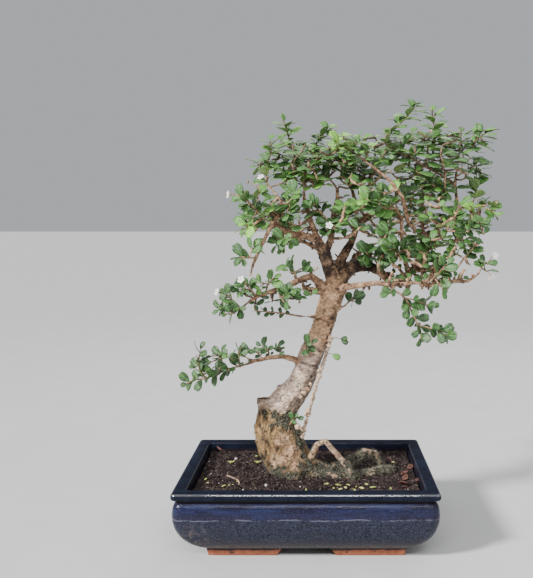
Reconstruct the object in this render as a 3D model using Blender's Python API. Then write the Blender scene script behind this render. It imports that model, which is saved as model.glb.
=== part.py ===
"""Fukien tea bonsai in a glazed oblong pot, at real size.

Metres, +Z up, the pot's front towards -Y. Routes of wood are listed in millimetres from the middle
of the pot's underside, and one empty then sets the whole down with its crown and pot centred on Z.
"""
import math
import random

import bmesh
import bpy
from mathutils import Matrix, Quaternion, Vector
from mathutils import noise
from mathutils.bvhtree import BVHTree

MM = 0.001
GAP = 0.0003                # clearance between pieces that touch
WELD = 0.00001

# Pot: one fired piece with a flat rim, a recessed neck, a bellied body and four corner feet
POT_LENGTH = 0.300
POT_WIDTH = 0.215
POT_HEIGHT = 0.080
RIM_WIDTH = 0.016
FLOOR_TOP = 0.018
WALL = 0.011
BELLY_DEPTH_SHARE = 0.62    # the front and back tuck under less than the ends do
FOOT_HALF_X = 0.114
FOOT_HALF_Y = 0.086
FOOT_WALL = 0.012
FOOT_HEIGHT = 0.0105
NOTCH_TOP_X, NOTCH_FOOT_X = 0.024, 0.034    # half widths of the gap between the front feet
NOTCH_TOP_Y, NOTCH_FOOT_Y = 0.020, 0.028
DRAIN_X = 0.062
DRAIN_RADIUS = 0.010

SCREEN_SIDE = 0.036
SCREEN_THICK = 0.001
SCREEN_HOLE = 0.011
SCREEN_PITCH = 0.015

SOIL_LEVEL = 0.068
SOIL_MOUND = 0.0045         # extra height round the foot of the trunk
SOIL_MOUND_X = -0.010
SOIL_MOUND_REACH = 0.055
SOIL_CRUMB = 0.0016
SOIL_CRUMB_SCALE = 42.0
SOIL_GRID = (12, 8)

LEAF_THICK = 0.0006
LEAF_LENGTH = (0.0140, 0.0205)
LEAF_WIDTH_SHARE = 0.60
LEAF_PITCH = 0.0036         # distance between leaf joints along a twig
TUFT_JOINTS = 3             # every twig ends in a tuft, with a leaf at each of its last joints
LEAF_EVERY = 7              # further back this model has a leaf at every seventh joint
CROWN_HEART = Vector((0.062, 0.012, 0.350))
GOLDEN_ANGLE = math.radians(137.5)

TRUNK_SIDES = 14
STOUT_RADIUS = 3.0          # millimetres, as the routes of wood below
TRUNK = (                   # (x, y, z, radius) in millimetres, from below the soil to the fork
    (-8, 0, 48, 25), (-15, 0, 72, 26.5), (-24, 0, 84, 28), (-31, 0, 100, 29), (-35, 0, 116, 29),
    (-38, 0, 129, 26.5), (-36, 0, 143, 23.5), (-28, 0, 157, 20), (-18, 1, 169, 17.5),
    (-9, 2, 181, 16), (-3, 3, 195, 15), (2, 4, 211, 15), (9, 5, 227, 14.3), (16, 6, 241, 13.8),
    (21, 6, 256, 13.3), (25, 7, 272, 13.6), (30, 8, 287, 14.2), (35, 9, 301, 14.5), (39, 11, 314, 11),
)

ROOTS = {                   # (x, y, z, radius) in millimetres
    "right_root": ((-18, -6, 88, 20), (-5, -10, 82, 17), (11, -6, 75, 12), (27, 0, 71, 9.5),
                   (48, 8, 76, 7), (72, 14, 91, 5), (86, 16, 88, 3.6), (93, 18, 70, 2.6), (95, 19, 62, 2)),
    "front_root": ((-4, -12, 74, 12), (13, -16, 71, 9), (34, -18, 68, 7.5), (55, -15, 68, 7),
                   (76, -8, 70, 6.5), (95, 0, 72, 6), (105, 4, 73, 4.8)),
    "arched_root": ((-2, -10, 80, 6), (7, -14, 97, 4.4), (12, -16, 109, 4), (22, -18, 114, 3.9),
                    (32, -21, 103, 3.8), (43, -24, 91, 3.6), (52, -27, 80, 3.4), (60, -30, 66, 3),
                    (63, -31, 60, 2.6)),
    "front_toe": ((-18, -6, 92, 20), (-17, -16, 78, 16), (-16, -24, 66, 12), (-15, -28, 56, 8)),
    "back_toe": ((-24, 8, 94, 20), (-24, 20, 80, 14), (-25, 28, 68, 10), (-26, 32, 56, 7)),
}

LIMBS = {
    "left_leader": ((35, 4, 303, 10), (28, 0, 319, 8.6), (23, -4, 333, 8), (21, -6, 347, 6.6)),
    "left_limb": ((21, -6, 343, 6.6), (12, -10, 358, 5.5), (1, -14, 361, 5), (-13, -20, 364, 4.5),
                  (-28, -28, 368, 4), (-41, -35, 377, 3.2)),
    "hanging_limb": ((-40, -34, 376, 3), (-47, -42, 361, 3), (-54, -48, 346, 2.8), (-60, -52, 332, 2.4),
                     (-64, -55, 317, 1.7)),
    "tall_left_limb": ((-40, -34, 376, 2.7), (-31, -28, 389, 2.4), (-28, -24, 399, 2.1),
                       (-36, -20, 410, 1.7)),
    "pale_limb": ((14, -9, 356, 4), (5, -4, 377, 3.6), (2, 0, 389, 3.2), (-3, 4, 400, 2.6),
                  (-4, 8, 413, 1.9)),
    "pale_side": ((3, -3, 382, 2.7), (-11, 4, 373, 2.2), (-21, 12, 377, 1.5)),
    "back_limb": ((22, -6, 342, 5.4), (28, 2, 355, 4.5), (31, 12, 371, 4), (32, 20, 387, 3.6),
                  (37, 28, 405, 3.1), (37, 34, 418, 2.4)),
    "mid_leader": ((40, 12, 308, 9), (40, 22, 329, 6.8), (47, 26, 341, 5.8), (54, 28, 352, 5),
                   (59, 30, 366, 4.4), (63, 30, 380, 3.6)),
    "high_left_limb": ((62, 29, 374, 3.3), (61, 40, 400, 2.7), (56, 50, 419, 2.3), (43, 60, 441, 1.8)),
    "high_mid_limb": ((62, 30, 376, 3.2), (75, 22, 388, 2.8), (80, 14, 405, 2.4), (77, 6, 422, 2),
                      (68, 0, 434, 1.5)),
    "right_limb": ((40, 12, 310, 10.5), (54, 22, 322, 9), (65, 28, 324, 8), (78, 30, 323, 7),
                   (90, 28, 317, 6), (101, 22, 307, 5.6), (110, 18, 304, 5.2), (118, 16, 308, 4.9),
                   (126, 14, 316, 4.6), (134, 10, 326, 4.2), (140, 6, 340, 4), (141, 2, 354, 3.8),
                   (141, -2, 366, 3.2)),
    "front_riser": ((126, 14, 315, 3.6), (118, 0, 332, 3), (114, -14, 349, 2.8), (112, -20, 365, 2.6),
                    (111, -24, 383, 2.2), (105, -28, 394, 1.6)),
    "crossing_limb": ((141, -1, 362, 3.2), (130, -10, 368, 2.8), (119, -20, 379, 2.7),
                      (114, -30, 395, 2.5), (111, -36, 407, 2.3), (96, -38, 426, 2), (77, -38, 441, 1.6)),
    "tall_right_limb": ((141, -1, 363, 3), (138, 6, 383, 2.7), (140, 12, 401, 2.3), (143, 18, 421, 2),
                        (151, 24, 442, 1.8), (155, 28, 461, 1.4)),
    "far_right_limb": ((141, -1, 362, 3), (154, -12, 365, 2.6), (165, -22, 368, 2)),
    "right_crown_limb": ((141, 2, 358, 3.4), (162, 14, 372, 2.9), (178, 22, 388, 2.6),
                         (185, 26, 405, 2.4), (182, 26, 425, 2.1), (185, 28, 445, 1.8), (188, 30, 466, 1.3)),
    "right_shelf": ((182, 26, 425, 2.1), (162, 8, 435, 1.9), (139, -10, 444, 1.6)),
    "right_low_fork": ((184, 26, 402, 2), (194, 18, 398, 1.5)),
    "lower_right_limb": ((32, 2, 297, 8), (47, -14, 301, 5.4), (63, -24, 304, 4.7), (81, -30, 307, 4.4),
                         (98, -32, 305, 4.2), (113, -34, 306, 3.8), (129, -36, 308, 3.4),
                         (144, -36, 305, 3), (160, -34, 306, 2.7), (175, -30, 309, 2.4),
                         (190, -26, 309, 2.1), (201, -22, 315, 1.5)),
    "lower_riser_limb": ((126, 14, 318, 3.6), (143, 4, 320, 2.9), (157, -4, 319, 2.5),
                         (169, -10, 320, 2.2), (180, -16, 327, 1.6)),
    "left_shelf": ((22, 0, 297, 7), (11, -12, 309, 4.8), (5, -16, 314, 4.4), (-3, -20, 312, 4.1),
                   (-13, -26, 308, 3.8), (-25, -32, 302, 3.5), (-40, -38, 298, 3.2),
                   (-55, -44, 294, 2.8), (-64, -49, 288, 2.4)),
    "shelf_stub": ((22, 0, 294, 5.6), (6, -10, 296, 4.2), (-5, -14, 300, 3.5)),
    "low_left_limb": ((0, 0, 203, 6.4), (-18, -12, 214, 4), (-31, -18, 218, 3.1), (-47, -26, 217, 2.7),
                      (-61, -32, 215, 2.4), (-69, -35.5, 212.5, 2)),
    "thin_left_limb": ((20, 0, 262, 2.8), (4, -14, 265, 1.7), (-7, -21, 267, 1.2)),
    "right_stub": ((24, 5, 266, 4), (38, 7, 271, 2), (44, 8, 275, 1.3)),
    "old_cut": ((-34, 0, 142, 10), (-48, -5, 155, 7.4), (-55, -7, 168, 6.2)),
    "aerial_root": ((22, 0, 246, 3), (29, -6, 239, 2.4), (24, -12, 222, 2.1), (18, -14, 205, 2.1),
                    (14, -16, 191, 1.9), (9, -18, 176, 2), (5, -18, 160, 1.8), (0, -18, 142, 1.6),
                    (-5, -19, 124, 1.5), (-14, -18, 108, 1.6)),
    "back_low_limb": ((52, 20, 321, 6), (61, 50, 333, 4.4), (70, 74, 342, 3.2), (85, 92, 348, 1.8)),
    "back_high_limb": ((61, 29, 372, 3.8), (85, 54, 390, 3), (109, 76, 401, 2.4), (130, 92, 412, 1.6)),
    "back_left_limb": ((22, -4, 338, 5), (13, 24, 346, 3.8), (-2, 48, 352, 2.8), (-14, 66, 357, 1.7)),
}

SPRAYS = {                  # each spray's twigs, (x, y, z) in millimetres, the first from its limb
    "low_left_outer": (
        ((-70, -36, 212), (-84, -42, 209), (-101, -48, 204), (-114, -52, 199), (-127, -56, 197),
         (-140, -60, 193)),
        ((-78, -39, 210), (-79, -44, 223), (-76, -48, 234)),
        ((-94, -46, 205), (-99, -42, 218), (-100, -38, 229)),
        ((-117, -53, 199), (-124, -58, 214), (-121, -62, 233)),
    ),
    "low_left_inner": (
        ((-44, -24, 219), (-48, -20, 227), (-54, -16, 230)),
        ((-47, -21, 225), (-35, -28, 231)),
    ),
    "thin_left": (
        ((-9, -22, 267), (-22, -28, 270), (-41, -34, 273), (-60, -38, 275)),
    ),
    "shelf_outer": (
        ((-66, -50, 287), (-75, -54, 280), (-85, -58, 274), (-93, -63, 275)),
        ((-75, -54, 280), (-84, -57, 290), (-93, -60, 297)),
        ((-83, -57, 275), (-98, -52, 282)),
    ),
    "shelf_flower": (
        ((-59, -48, 295), (-64, -56, 302), (-69, -62, 310)),
        ((-64, -56, 302), (-76, -54, 302)),
    ),
    "shelf_mid": (
        ((-47, -42, 297), (-44, -46, 307), (-38, -50, 314)),
        ((-44, -46, 307), (-55, -40, 308)),
    ),
    "shelf_hanging": (
        ((-33, -37, 298), (-30, -44, 292), (-25, -50, 286)),
        ((-30, -44, 292), (-14, -52, 296)),
    ),
    "shelf_dark": (
        ((-12, -22, 310), (-15, -14, 319), (-23, -6, 327)),
        ((-15, -14, 319), (-3, -20, 325)),
    ),
    "hanging_left": (
        ((-57, -51, 338), (-66, -58, 338), (-75, -64, 339)),
        ((-65, -57, 338), (-60, -62, 350)),
    ),
    "left_under": (
        ((-28, -30, 367), (-25, -38, 358), (-18, -46, 353)),
        ((-25, -38, 358), (-34, -36, 352)),
    ),
    "left_bright": (
        ((-29, -25, 396), (-19, -30, 403), (-12, -36, 413)),
        ((-19, -30, 403), (-21, -38, 389)),
    ),
    "left_shoot": (
        ((-38, -20, 413), (-47, -18, 425), (-46, -16, 445), (-42, -15, 463), (-43, -14, 474)),
        ((-46, -16, 447), (-58, -20, 444)),
        ((-43, -19, 419), (-27, -12, 425), (-18, -6, 432)),
    ),
    "left_fork": (
        ((-40, -35, 378), (-53, -42, 385), (-60, -44, 395), (-71, -48, 405), (-80, -52, 409)),
        ((-57, -43, 391), (-64, -50, 378), (-71, -54, 370)),
        ((-60, -44, 395), (-54, -50, 408), (-54, -56, 420)),
    ),
    "pale_tip": (
        ((-4, 9, 417), (-3, 14, 427), (1, 18, 437)),
        ((-3, 14, 426), (10, 6, 429)),
    ),
    "pale_side": (
        ((-25, 13, 378), (-32, 18, 382), (-44, 26, 388)),
        ((-32, 18, 382), (-34, 28, 394)),
    ),
    "center_left": (
        ((28, 8, 376), (18, 0, 388), (8, -8, 400)),
        ((18, 0, 388), (3, -16, 395)),
    ),
    "star": (
        ((26, -6, 357), (25, -16, 366), (24, -26, 374)),
        ((25, -16, 366), (38, -30, 375)),
    ),
    "back_top": (
        ((34, 37, 424), (23, 42, 436), (10, 47, 450), (-7, 46, 450), (-21, 42, 443)),
        ((27, 41, 432), (13, 48, 426), (-6, 56, 432)),
        ((9, 47, 450), (0, 52, 464)),
    ),
    "back_right": (
        ((40, 34, 422), (51, 30, 420), (66, 26, 427), (83, 34, 432)),
        ((64, 27, 426), (72, 18, 417)),
    ),
    "high_left": (
        ((40, 61, 444), (22, 66, 460), (0, 70, 471), (-15, 72, 475), (-35, 70, 479)),
        ((3, 70, 469), (14, 76, 483), (26, 80, 500)),
        ((-23, 71, 477), (-26, 68, 494), (-32, 66, 508)),
    ),
    "high_left_bright": (
        ((54, 54, 428), (43, 46, 451), (39, 40, 475)),
        ((42, 45, 456), (54, 36, 472)),
    ),
    "high_mid": (
        ((66, -1, 437), (56, -6, 442), (45, -12, 448)),
        ((56, -6, 442), (51, -14, 430)),
    ),
    "crossing_tip": (
        ((74, -38, 443), (60, -36, 454), (48, -38, 461), (34, -40, 469)),
        ((67, -37, 448), (72, -48, 461)),
        ((52, -37, 458), (56, -46, 471)),
    ),
    "crossing_low": (
        ((104, -39, 415), (90, -48, 411), (74, -56, 414)),
        ((90, -48, 411), (82, -58, 398)),
    ),
    "riser_tip": (
        ((105, -28, 394), (91, -42, 394), (77, -54, 399)),
        ((91, -42, 394), (67, -62, 404)),
    ),
    "riser_low": (
        ((110, -24, 367), (98, -36, 370), (87, -46, 376)),
        ((98, -36, 370), (89, -48, 360)),
    ),
    "mid_leader": (
        ((55, 24, 371), (47, 10, 381), (41, 0, 390)),
        ((47, 10, 381), (59, -4, 393)),
    ),
    "right_low_front": (
        ((86, 24, 328), (77, 4, 336), (70, -14, 343)),
        ((77, 4, 336), (92, -12, 339)),
    ),
    "right_low_mid": (
        ((114, -6, 334), (105, -24, 343), (97, -38, 349)),
        ((105, -24, 343), (117, -36, 346)),
    ),
    "right_mid": (
        ((145, 4, 348), (148, -12, 346), (151, -28, 349)),
        ((148, -12, 346), (138, -26, 341)),
    ),
    "tall_mid_shoot": (
        ((136, -12, 446), (122, -20, 453), (106, -26, 459), (89, -32, 472), (108, -30, 491),
         (125, -28, 510)),
        ((130, -16, 449), (127, -8, 463)),
        ((115, -23, 456), (110, -14, 474)),
    ),
    "tall_right": (
        ((155, 29, 465), (157, 30, 479), (156, 32, 497), (153, 33, 517)),
        ((156, 29, 472), (174, 40, 478)),
    ),
    "right_top": (
        ((188, 30, 470), (190, 34, 481), (190, 36, 492)),
        ((189, 32, 476), (206, 28, 479), (220, 24, 488)),
    ),
    "right_upper": (
        ((187, 29, 436), (201, 36, 445), (216, 44, 450)),
        ((201, 36, 445), (221, 40, 438)),
    ),
    "right_upper_front": (
        ((172, 16, 430), (159, -2, 421), (145, -14, 423)),
        ((159, -2, 421), (166, -14, 414)),
    ),
    "right_fork": (
        ((196, 17, 398), (208, 12, 398), (222, 6, 399)),
        ((200, 15, 398), (208, 24, 413), (209, 32, 428)),
        ((210, 11, 398), (229, 4, 389)),
    ),
    "far_right": (
        ((168, -23, 368), (178, -30, 368), (192, -36, 373), (207, -40, 377)),
        ((170, -25, 368), (172, -36, 379), (171, -44, 390)),
    ),
    "tall_base": (
        ((139, 10, 400), (127, 16, 405), (119, 24, 415)),
        ((127, 16, 405), (128, 28, 393)),
    ),
    "lower_riser": (
        ((183, -17, 330), (189, -20, 339), (198, -24, 350)),
        ((186, -19, 335), (172, -26, 343)),
    ),
    "lower_right_tip": (
        ((203, -23, 318), (207, -26, 327), (215, -30, 334)),
        ((206, -25, 324), (212, -34, 320)),
    ),
    "pale_riser": (
        ((144, -40, 310), (151, -46, 319), (160, -52, 330)),
        ((148, -42, 314), (157, -50, 301)),
    ),
    "hanging_right": (
        ((101, -34, 299), (114, -40, 291), (123, -46, 272), (131, -50, 257), (132, -52, 244)),
        ((113, -40, 291), (127, -48, 288), (142, -54, 282)),
        ((129, -49, 260), (148, -56, 255), (166, -60, 246)),
        ((105, -36, 297), (96, -46, 296)),
    ),
    "trunk_leaves": (
        ((1, -12, 222), (-1, -20, 228), (6, -26, 236)),
    ),
    "right_twig": (
        ((46, 8, 276), (52, 12, 281), (61, 18, 286)),
    ),
    "base_leaves": (
        ((-22, -26, 129), (-20, -32, 138), (-15, -36, 147)),
    ),
    "back_low": (
        ((88, 94, 349), (100, 104, 354), (112, 112, 362)),
        ((98, 102, 353), (84, 112, 362)),
    ),
    "back_high": (
        ((133, 94, 413), (144, 102, 422), (152, 108, 434)),
        ((142, 101, 420), (126, 110, 426)),
    ),
    "back_left": (
        ((-16, 68, 358), (-28, 78, 364), (-38, 86, 374)),
        ((-26, 77, 363), (-20, 92, 366)),
    ),
}

FLOWERS = {                 # (spray, twig, joint of its stalk, middle in millimetres, way it faces)
    "shelf_end": ("shelf_outer", 1, 2, (-99, -64, 299), (-0.8, -0.5, 0.3)),
    "shelf_inner": ("shelf_flower", 0, 2, (-72, -68, 313), (-0.4, -0.8, 0.4)),
    "left_shoot": ("left_shoot", 0, 1, (-53, -23, 429), (-0.3, -0.6, 0.7)),
    "left_fork": ("left_fork", 0, 4, (-86, -55, 409), (-0.9, -0.4, 0.1)),
    "star": ("star", 0, 2, (26, -33, 374), (0.1, -0.95, 0.25)),
    "right_tip": ("lower_right_tip", 0, 2, (218, -35, 339), (0.4, -0.8, 0.3)),
    "right_low": ("lower_right_tip", 1, 1, (214, -40, 315), (0.2, -0.7, -0.5)),
}


def clear_scene():
    for leftover in list(bpy.data.objects):
        bpy.data.objects.remove(leftover, do_unlink=True)


def material(name, colour, roughness):
    """A plain Principled surface in the piece's own colour."""
    made = bpy.data.materials.new(name)
    made.use_nodes = True
    shader = made.node_tree.nodes["Principled BSDF"]
    shader.inputs["Base Color"].default_value = (*colour, 1.0)
    shader.inputs["Roughness"].default_value = roughness
    shader.inputs["Metallic"].default_value = 0.0
    return made


def object_from(name, mesh):
    made = bpy.data.objects.new(name, mesh)
    bpy.context.scene.collection.objects.link(made)
    return made


def object_from_bmesh(name, shape):
    bmesh.ops.recalc_face_normals(shape, faces=shape.faces)
    mesh = bpy.data.meshes.new(name)
    shape.to_mesh(mesh)
    shape.free()
    return object_from(name, mesh)


def millimetres(point):
    return Vector(point[:3]) * MM


def combine(target, tools, operation="UNION", solver="EXACT"):
    """Join or cut one object by a collection of others, which are then gone."""
    group = bpy.data.collections.new("tools")
    for tool in tools:
        group.objects.link(tool)
    boolean = target.modifiers.new("combine", "BOOLEAN")
    boolean.operation = operation
    boolean.solver = solver
    boolean.operand_type = "COLLECTION"
    boolean.collection = group
    bpy.context.view_layer.update()
    evaluated = target.evaluated_get(bpy.context.evaluated_depsgraph_get())
    joined = bpy.data.meshes.new_from_object(evaluated)
    target.modifiers.clear()
    target.data = joined
    for tool in list(group.objects):
        bpy.data.objects.remove(tool, do_unlink=True)
    bpy.data.collections.remove(group)


def loft(name, rings):
    """A closed solid through rings of equally many points, capped at both ends."""
    shape = bmesh.new()
    loops = [[shape.verts.new(point) for point in ring] for ring in rings]
    count = len(loops[0])
    for lower, upper in zip(loops, loops[1:]):
        for side in range(count):
            after = (side + 1) % count
            shape.faces.new((lower[side], lower[after], upper[after], upper[side]))
    bmesh.ops.triangulate(shape, faces=shape.faces[:], quad_method="FIXED")
    shape.faces.new(list(reversed(loops[0])))
    shape.faces.new(loops[-1])
    return object_from_bmesh(name, shape)


def tube(name, points, radii, bevel_resolution=0):
    """A tapering stem along points in metres, as a mesh with welded caps."""
    curve = bpy.data.curves.new(name, "CURVE")
    curve.dimensions = "3D"
    curve.bevel_depth = MM
    curve.bevel_resolution = bevel_resolution
    curve.use_fill_caps = True
    spline = curve.splines.new("POLY")
    spline.points.add(len(points) - 1)
    for spline_point, point, radius in zip(spline.points, points, radii):
        spline_point.co = (*point, 1.0)
        spline_point.radius = radius / MM
    bent = object_from(name, curve)
    bpy.context.view_layer.update()
    mesh = bpy.data.meshes.new_from_object(bent.evaluated_get(bpy.context.evaluated_depsgraph_get()))
    bpy.data.objects.remove(bent, do_unlink=True)
    shape = bmesh.new()
    shape.from_mesh(mesh)
    bmesh.ops.remove_doubles(shape, verts=shape.verts, dist=WELD)
    return object_from_bmesh(name, shape)


def box(name, size, centre):
    shape = bmesh.new()
    bmesh.ops.create_cube(shape, size=1.0)
    bmesh.ops.scale(shape, vec=size, verts=shape.verts)
    bmesh.ops.translate(shape, vec=centre, verts=shape.verts)
    return object_from_bmesh(name, shape)


# Pot, drain screens and soil

def rounded_ring(half_x, half_y, radius, height, corner_steps=3):
    """Points round a rectangle with rounded corners, anticlockwise from its +X +Y corner."""
    ring = []
    for corner, (sign_x, sign_y) in enumerate(((1, 1), (-1, 1), (-1, -1), (1, -1))):
        centre = Vector((sign_x * (half_x - radius), sign_y * (half_y - radius), height))
        for step in range(corner_steps + 1):
            angle = math.pi / 2 * (corner + step / corner_steps)
            ring.append(centre + radius * Vector((math.cos(angle), math.sin(angle), 0)))
    return ring


def pot_ring(inset, height, radius, depth_share=1.0):
    half_x = POT_LENGTH / 2 - inset
    half_y = POT_WIDTH / 2 - inset * depth_share
    return rounded_ring(half_x, half_y, radius, height)


BELLY = (                   # (inset from the pot's ends, height, corner radius) in millimetres
    (38, 9.5, 20), (25, 14.5, 17), (12, 24.5, 14), (3.5, 39, 12), (0.3, 51, 11), (1.2, 61, 10),
    (3.6, 67.5, 9),
)
NECK_AND_LIP = (
    (5, 68.5, 7), (5, 71.3, 7), (0.6, 72.3, 6), (0, 74, 5.5), (0, 77, 5.5), (0.9, 79.1, 5), (3, 80, 4),
)


def build_pot():
    """The outside from underneath up to the rim, then the inside down to the floor."""
    rings = [pot_ring(inset * MM, height * MM, radius * MM, BELLY_DEPTH_SHARE)
             for inset, height, radius in BELLY]
    rings += [pot_ring(inset * MM, height * MM, radius * MM) for inset, height, radius in NECK_AND_LIP]
    inner_corner = 0.005
    rim_round = 0.0012
    rings.append(pot_ring(RIM_WIDTH - rim_round, POT_HEIGHT, inner_corner + rim_round))
    rings += inner_rings(RIM_WIDTH, POT_HEIGHT - rim_round, FLOOR_TOP)
    pot = loft("pot", rings)
    combine(pot, [foot_ring()])
    combine(pot, [drain_hole(DRAIN_X), drain_hole(-DRAIN_X)], "DIFFERENCE")
    return pot


def inner_rings(inset, top, bottom, slack=0.0):
    """The hollow's own rings, which the soil repeats a little smaller."""
    corner = 0.005
    low_inset = 0.024 + WALL * 0.5
    mid_inset = inset + 0.004
    mid = 0.042
    return [pot_ring(inset + slack, top, corner),
            pot_ring(mid_inset + slack, mid, corner * 2, 0.95),
            pot_ring(low_inset + slack, bottom + 0.005, corner * 2, 0.85),
            pot_ring(low_inset + 0.006 + slack, bottom, corner * 2, 0.85)]


def foot_ring():
    """A standing ring, notched on all four sides into corner feet."""
    overlap = 0.002
    top = FOOT_HEIGHT + overlap
    inner_x, inner_y = FOOT_HALF_X - FOOT_WALL, FOOT_HALF_Y - FOOT_WALL
    feet = loft("feet", [rounded_ring(FOOT_HALF_X, FOOT_HALF_Y, 0.006, 0.0),
                         rounded_ring(FOOT_HALF_X - 0.001, FOOT_HALF_Y - 0.001, 0.006, top)])
    core = loft("core", [rounded_ring(inner_x, inner_y, 0.004, -overlap),
                         rounded_ring(inner_x, inner_y, 0.004, top + overlap)])
    combine(feet, [core,
                   notch(NOTCH_FOOT_X, NOTCH_TOP_X, FOOT_HALF_Y + overlap),
                   notch(NOTCH_FOOT_Y, NOTCH_TOP_Y, FOOT_HALF_X + overlap, quarter_turn=True)],
            "DIFFERENCE")
    return feet


def notch(foot_half, top_half, reach, quarter_turn=False):
    """A cutter that runs right under the pot, narrower at the top than at the ground."""
    low, high = -0.002, FOOT_HEIGHT + 0.004
    slope = (foot_half - top_half) / FOOT_HEIGHT
    cutter = loft("notch", [
        [Vector((sx * (foot_half - slope * height), sy * reach, height))
         for sx, sy in ((1, 1), (-1, 1), (-1, -1), (1, -1))] for height in (low, high)])
    if quarter_turn:
        cutter.data.transform(Matrix.Rotation(math.pi / 2, 4, "Z"))
    return cutter


def drain_hole(x):
    shape = bmesh.new()
    bmesh.ops.create_cone(shape, cap_ends=True, segments=16, radius1=DRAIN_RADIUS,
                          radius2=DRAIN_RADIUS, depth=FLOOR_TOP * 2)
    bmesh.ops.translate(shape, vec=(x, 0, FLOOR_TOP), verts=shape.verts)
    return object_from_bmesh("drain", shape)


def build_drain_screen(name, x):
    """A plastic screen that lies over one drain hole, with two by two openings."""
    bottom = FLOOR_TOP + GAP
    screen = box(name, (SCREEN_SIDE, SCREEN_SIDE, SCREEN_THICK), (x, 0, bottom + SCREEN_THICK / 2))
    openings = [box("opening", (SCREEN_HOLE, SCREEN_HOLE, SCREEN_THICK * 4),
                    (x + column * SCREEN_PITCH / 2, row * SCREEN_PITCH / 2, bottom))
                for column in (-1, 1) for row in (-1, 1)]
    combine(screen, openings, "DIFFERENCE")
    return screen


def soil_height(x, y):
    """Crumbly soil, mounded round the foot of the trunk."""
    away = Vector((x - SOIL_MOUND_X, y)).length / SOIL_MOUND_REACH
    rough = noise.noise(Vector((x, y, 0.0)) * SOIL_CRUMB_SCALE)
    return SOIL_LEVEL + SOIL_MOUND * math.exp(-away * away) + SOIL_CRUMB * rough


def build_soil():
    """Fills the pot round the buried wood, with pockets over the drain screens."""
    bottom = FLOOR_TOP + GAP
    above = POT_HEIGHT + 0.010
    soil = loft("soil", list(reversed(inner_rings(RIM_WIDTH, above, bottom, GAP))))
    columns, rows = SOIL_GRID
    bpy.ops.mesh.primitive_grid_add(x_subdivisions=columns, y_subdivisions=rows, size=2)
    surface = bpy.context.object
    for vertex in surface.data.vertices:
        x = vertex.co.x * POT_LENGTH / 2
        y = vertex.co.y * POT_WIDTH / 2
        vertex.co = (x, y, soil_height(x, y))
    shape = bmesh.new()
    shape.from_mesh(surface.data)
    bpy.data.objects.remove(surface, do_unlink=True)
    raised = bmesh.ops.extrude_face_region(shape, geom=shape.faces[:])["geom"]
    for vertex in (item for item in raised if isinstance(item, bmesh.types.BMVert)):
        vertex.co.z = above + 0.01
    air = object_from_bmesh("air", shape)
    pocket = SCREEN_SIDE + 2 * GAP
    pockets = [box("pocket", (pocket, pocket, 2 * (SCREEN_THICK + GAP)), (x, 0, bottom))
               for x in (DRAIN_X, -DRAIN_X)]
    combine(soil, [air] + pockets + buried_wood(0.0005), "DIFFERENCE")
    return soil


# Wood

def trunk_ring(place, tangent, radius, turn):
    """One fluted section across the trunk."""
    side = tangent.cross(Vector((1, 0, 0))).normalized()
    front = side.cross(tangent).normalized()
    ring = []
    for step in range(TRUNK_SIDES):
        angle = math.tau * step / TRUNK_SIDES
        flute = 1 + 0.045 * math.sin(3 * angle + 0.8 * turn) + 0.035 * math.sin(5 * angle - 0.5 * turn)
        ring.append(place + radius * flute * (math.cos(angle) * front + math.sin(angle) * side))
    return ring


def trunk_bole(stations, grow=0.0):
    """The trunk from its buried base to the fork, its sections square to its lean."""
    places = [millimetres(station) for station in stations]
    rings = []
    for index, place in enumerate(places):
        tangent = (places[min(index + 1, len(places) - 1)] - places[max(index - 1, 0)]).normalized()
        rings.append(trunk_ring(place, tangent, stations[index][3] * MM + grow, index))
    if grow:
        rings[0] = [point - Vector((0, 0, grow)) for point in rings[0]]
    return loft("trunk", rings)


def wood_tube(name, stations, grow=0.0):
    """A limb or root, six-sided where it is stout and four-sided where it is thin."""
    points = [millimetres(station) for station in stations]
    stout = max(station[3] for station in stations) > STOUT_RADIUS
    if grow:
        points[0] = points[0] + (points[0] - points[1]).normalized() * grow
        points[-1] = points[-1] + (points[-1] - points[-2]).normalized() * grow
    return tube(name, points, [station[3] * MM + grow for station in stations], bevel_resolution=int(stout))


def buried_wood(grow):
    """The base and roots, a little fatter, as cutters for the soil's holes."""
    base_stations = 6
    return [trunk_bole(TRUNK[:base_stations], grow)] + [
        wood_tube(name, stations, grow) for name, stations in ROOTS.items()]


def build_trunk():
    """Trunk, roots and limbs grew as one piece of wood."""
    trunk = trunk_bole(TRUNK)
    branches = [wood_tube(name, stations) for name, stations in {**ROOTS, **LIMBS}.items()]
    combine(trunk, branches)
    return trunk


# Sprays

def twig_radii(count, first):
    """Twigs taper from their base to a fine tip."""
    base, tip = (0.0014, 0.0008) if first else (0.0010, 0.0007)
    return [base + (tip - base) * step / (count - 1) for step in range(count)]


def cap_is_clear(wood, place, direction, radius):
    """True where a twig's round end would stand clear of the wood."""
    across = direction.orthogonal().normalized()
    for quarter in range(4):
        rim = place + Quaternion(direction, quarter * math.pi / 2) @ across * radius
        for probe in (rim, place):
            nearest, normal, _, distance = wood.find_nearest(probe)
            if distance < GAP or (probe - nearest).dot(normal) < 0:
                return False
    return True


def seat_on_wood(wood, points, radius):
    """Move a twig's first point along it, to stand a gap's width off the limb that carries it."""
    start, after = points[0], points[1]
    direction = (after - start).normalized()
    step = 0.0001
    reach_back = 0.012
    travel = (after - start).length - step
    while travel > -reach_back and cap_is_clear(wood, start + direction * travel, direction, radius):
        travel -= step
    if travel <= -reach_back:
        return points
    return [start + direction * (travel + step)] + points[1:]


def leaf_joints(points):
    """Places and directions of the leaf joints, from the twig's tip back towards its base."""
    lengths = [(after - before).length for before, after in zip(points, points[1:])]
    total = sum(lengths)
    bare = min(0.3 * total, 0.010)
    joints = []
    back = 0.0
    while back < total - bare:
        left = total - back
        for before, after, length in zip(points, points[1:], lengths):
            if left <= length:
                direction = (after - before).normalized()
                joints.append((before + direction * left, direction))
                break
            left -= length
        back += LEAF_PITCH
    return joints


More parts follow.
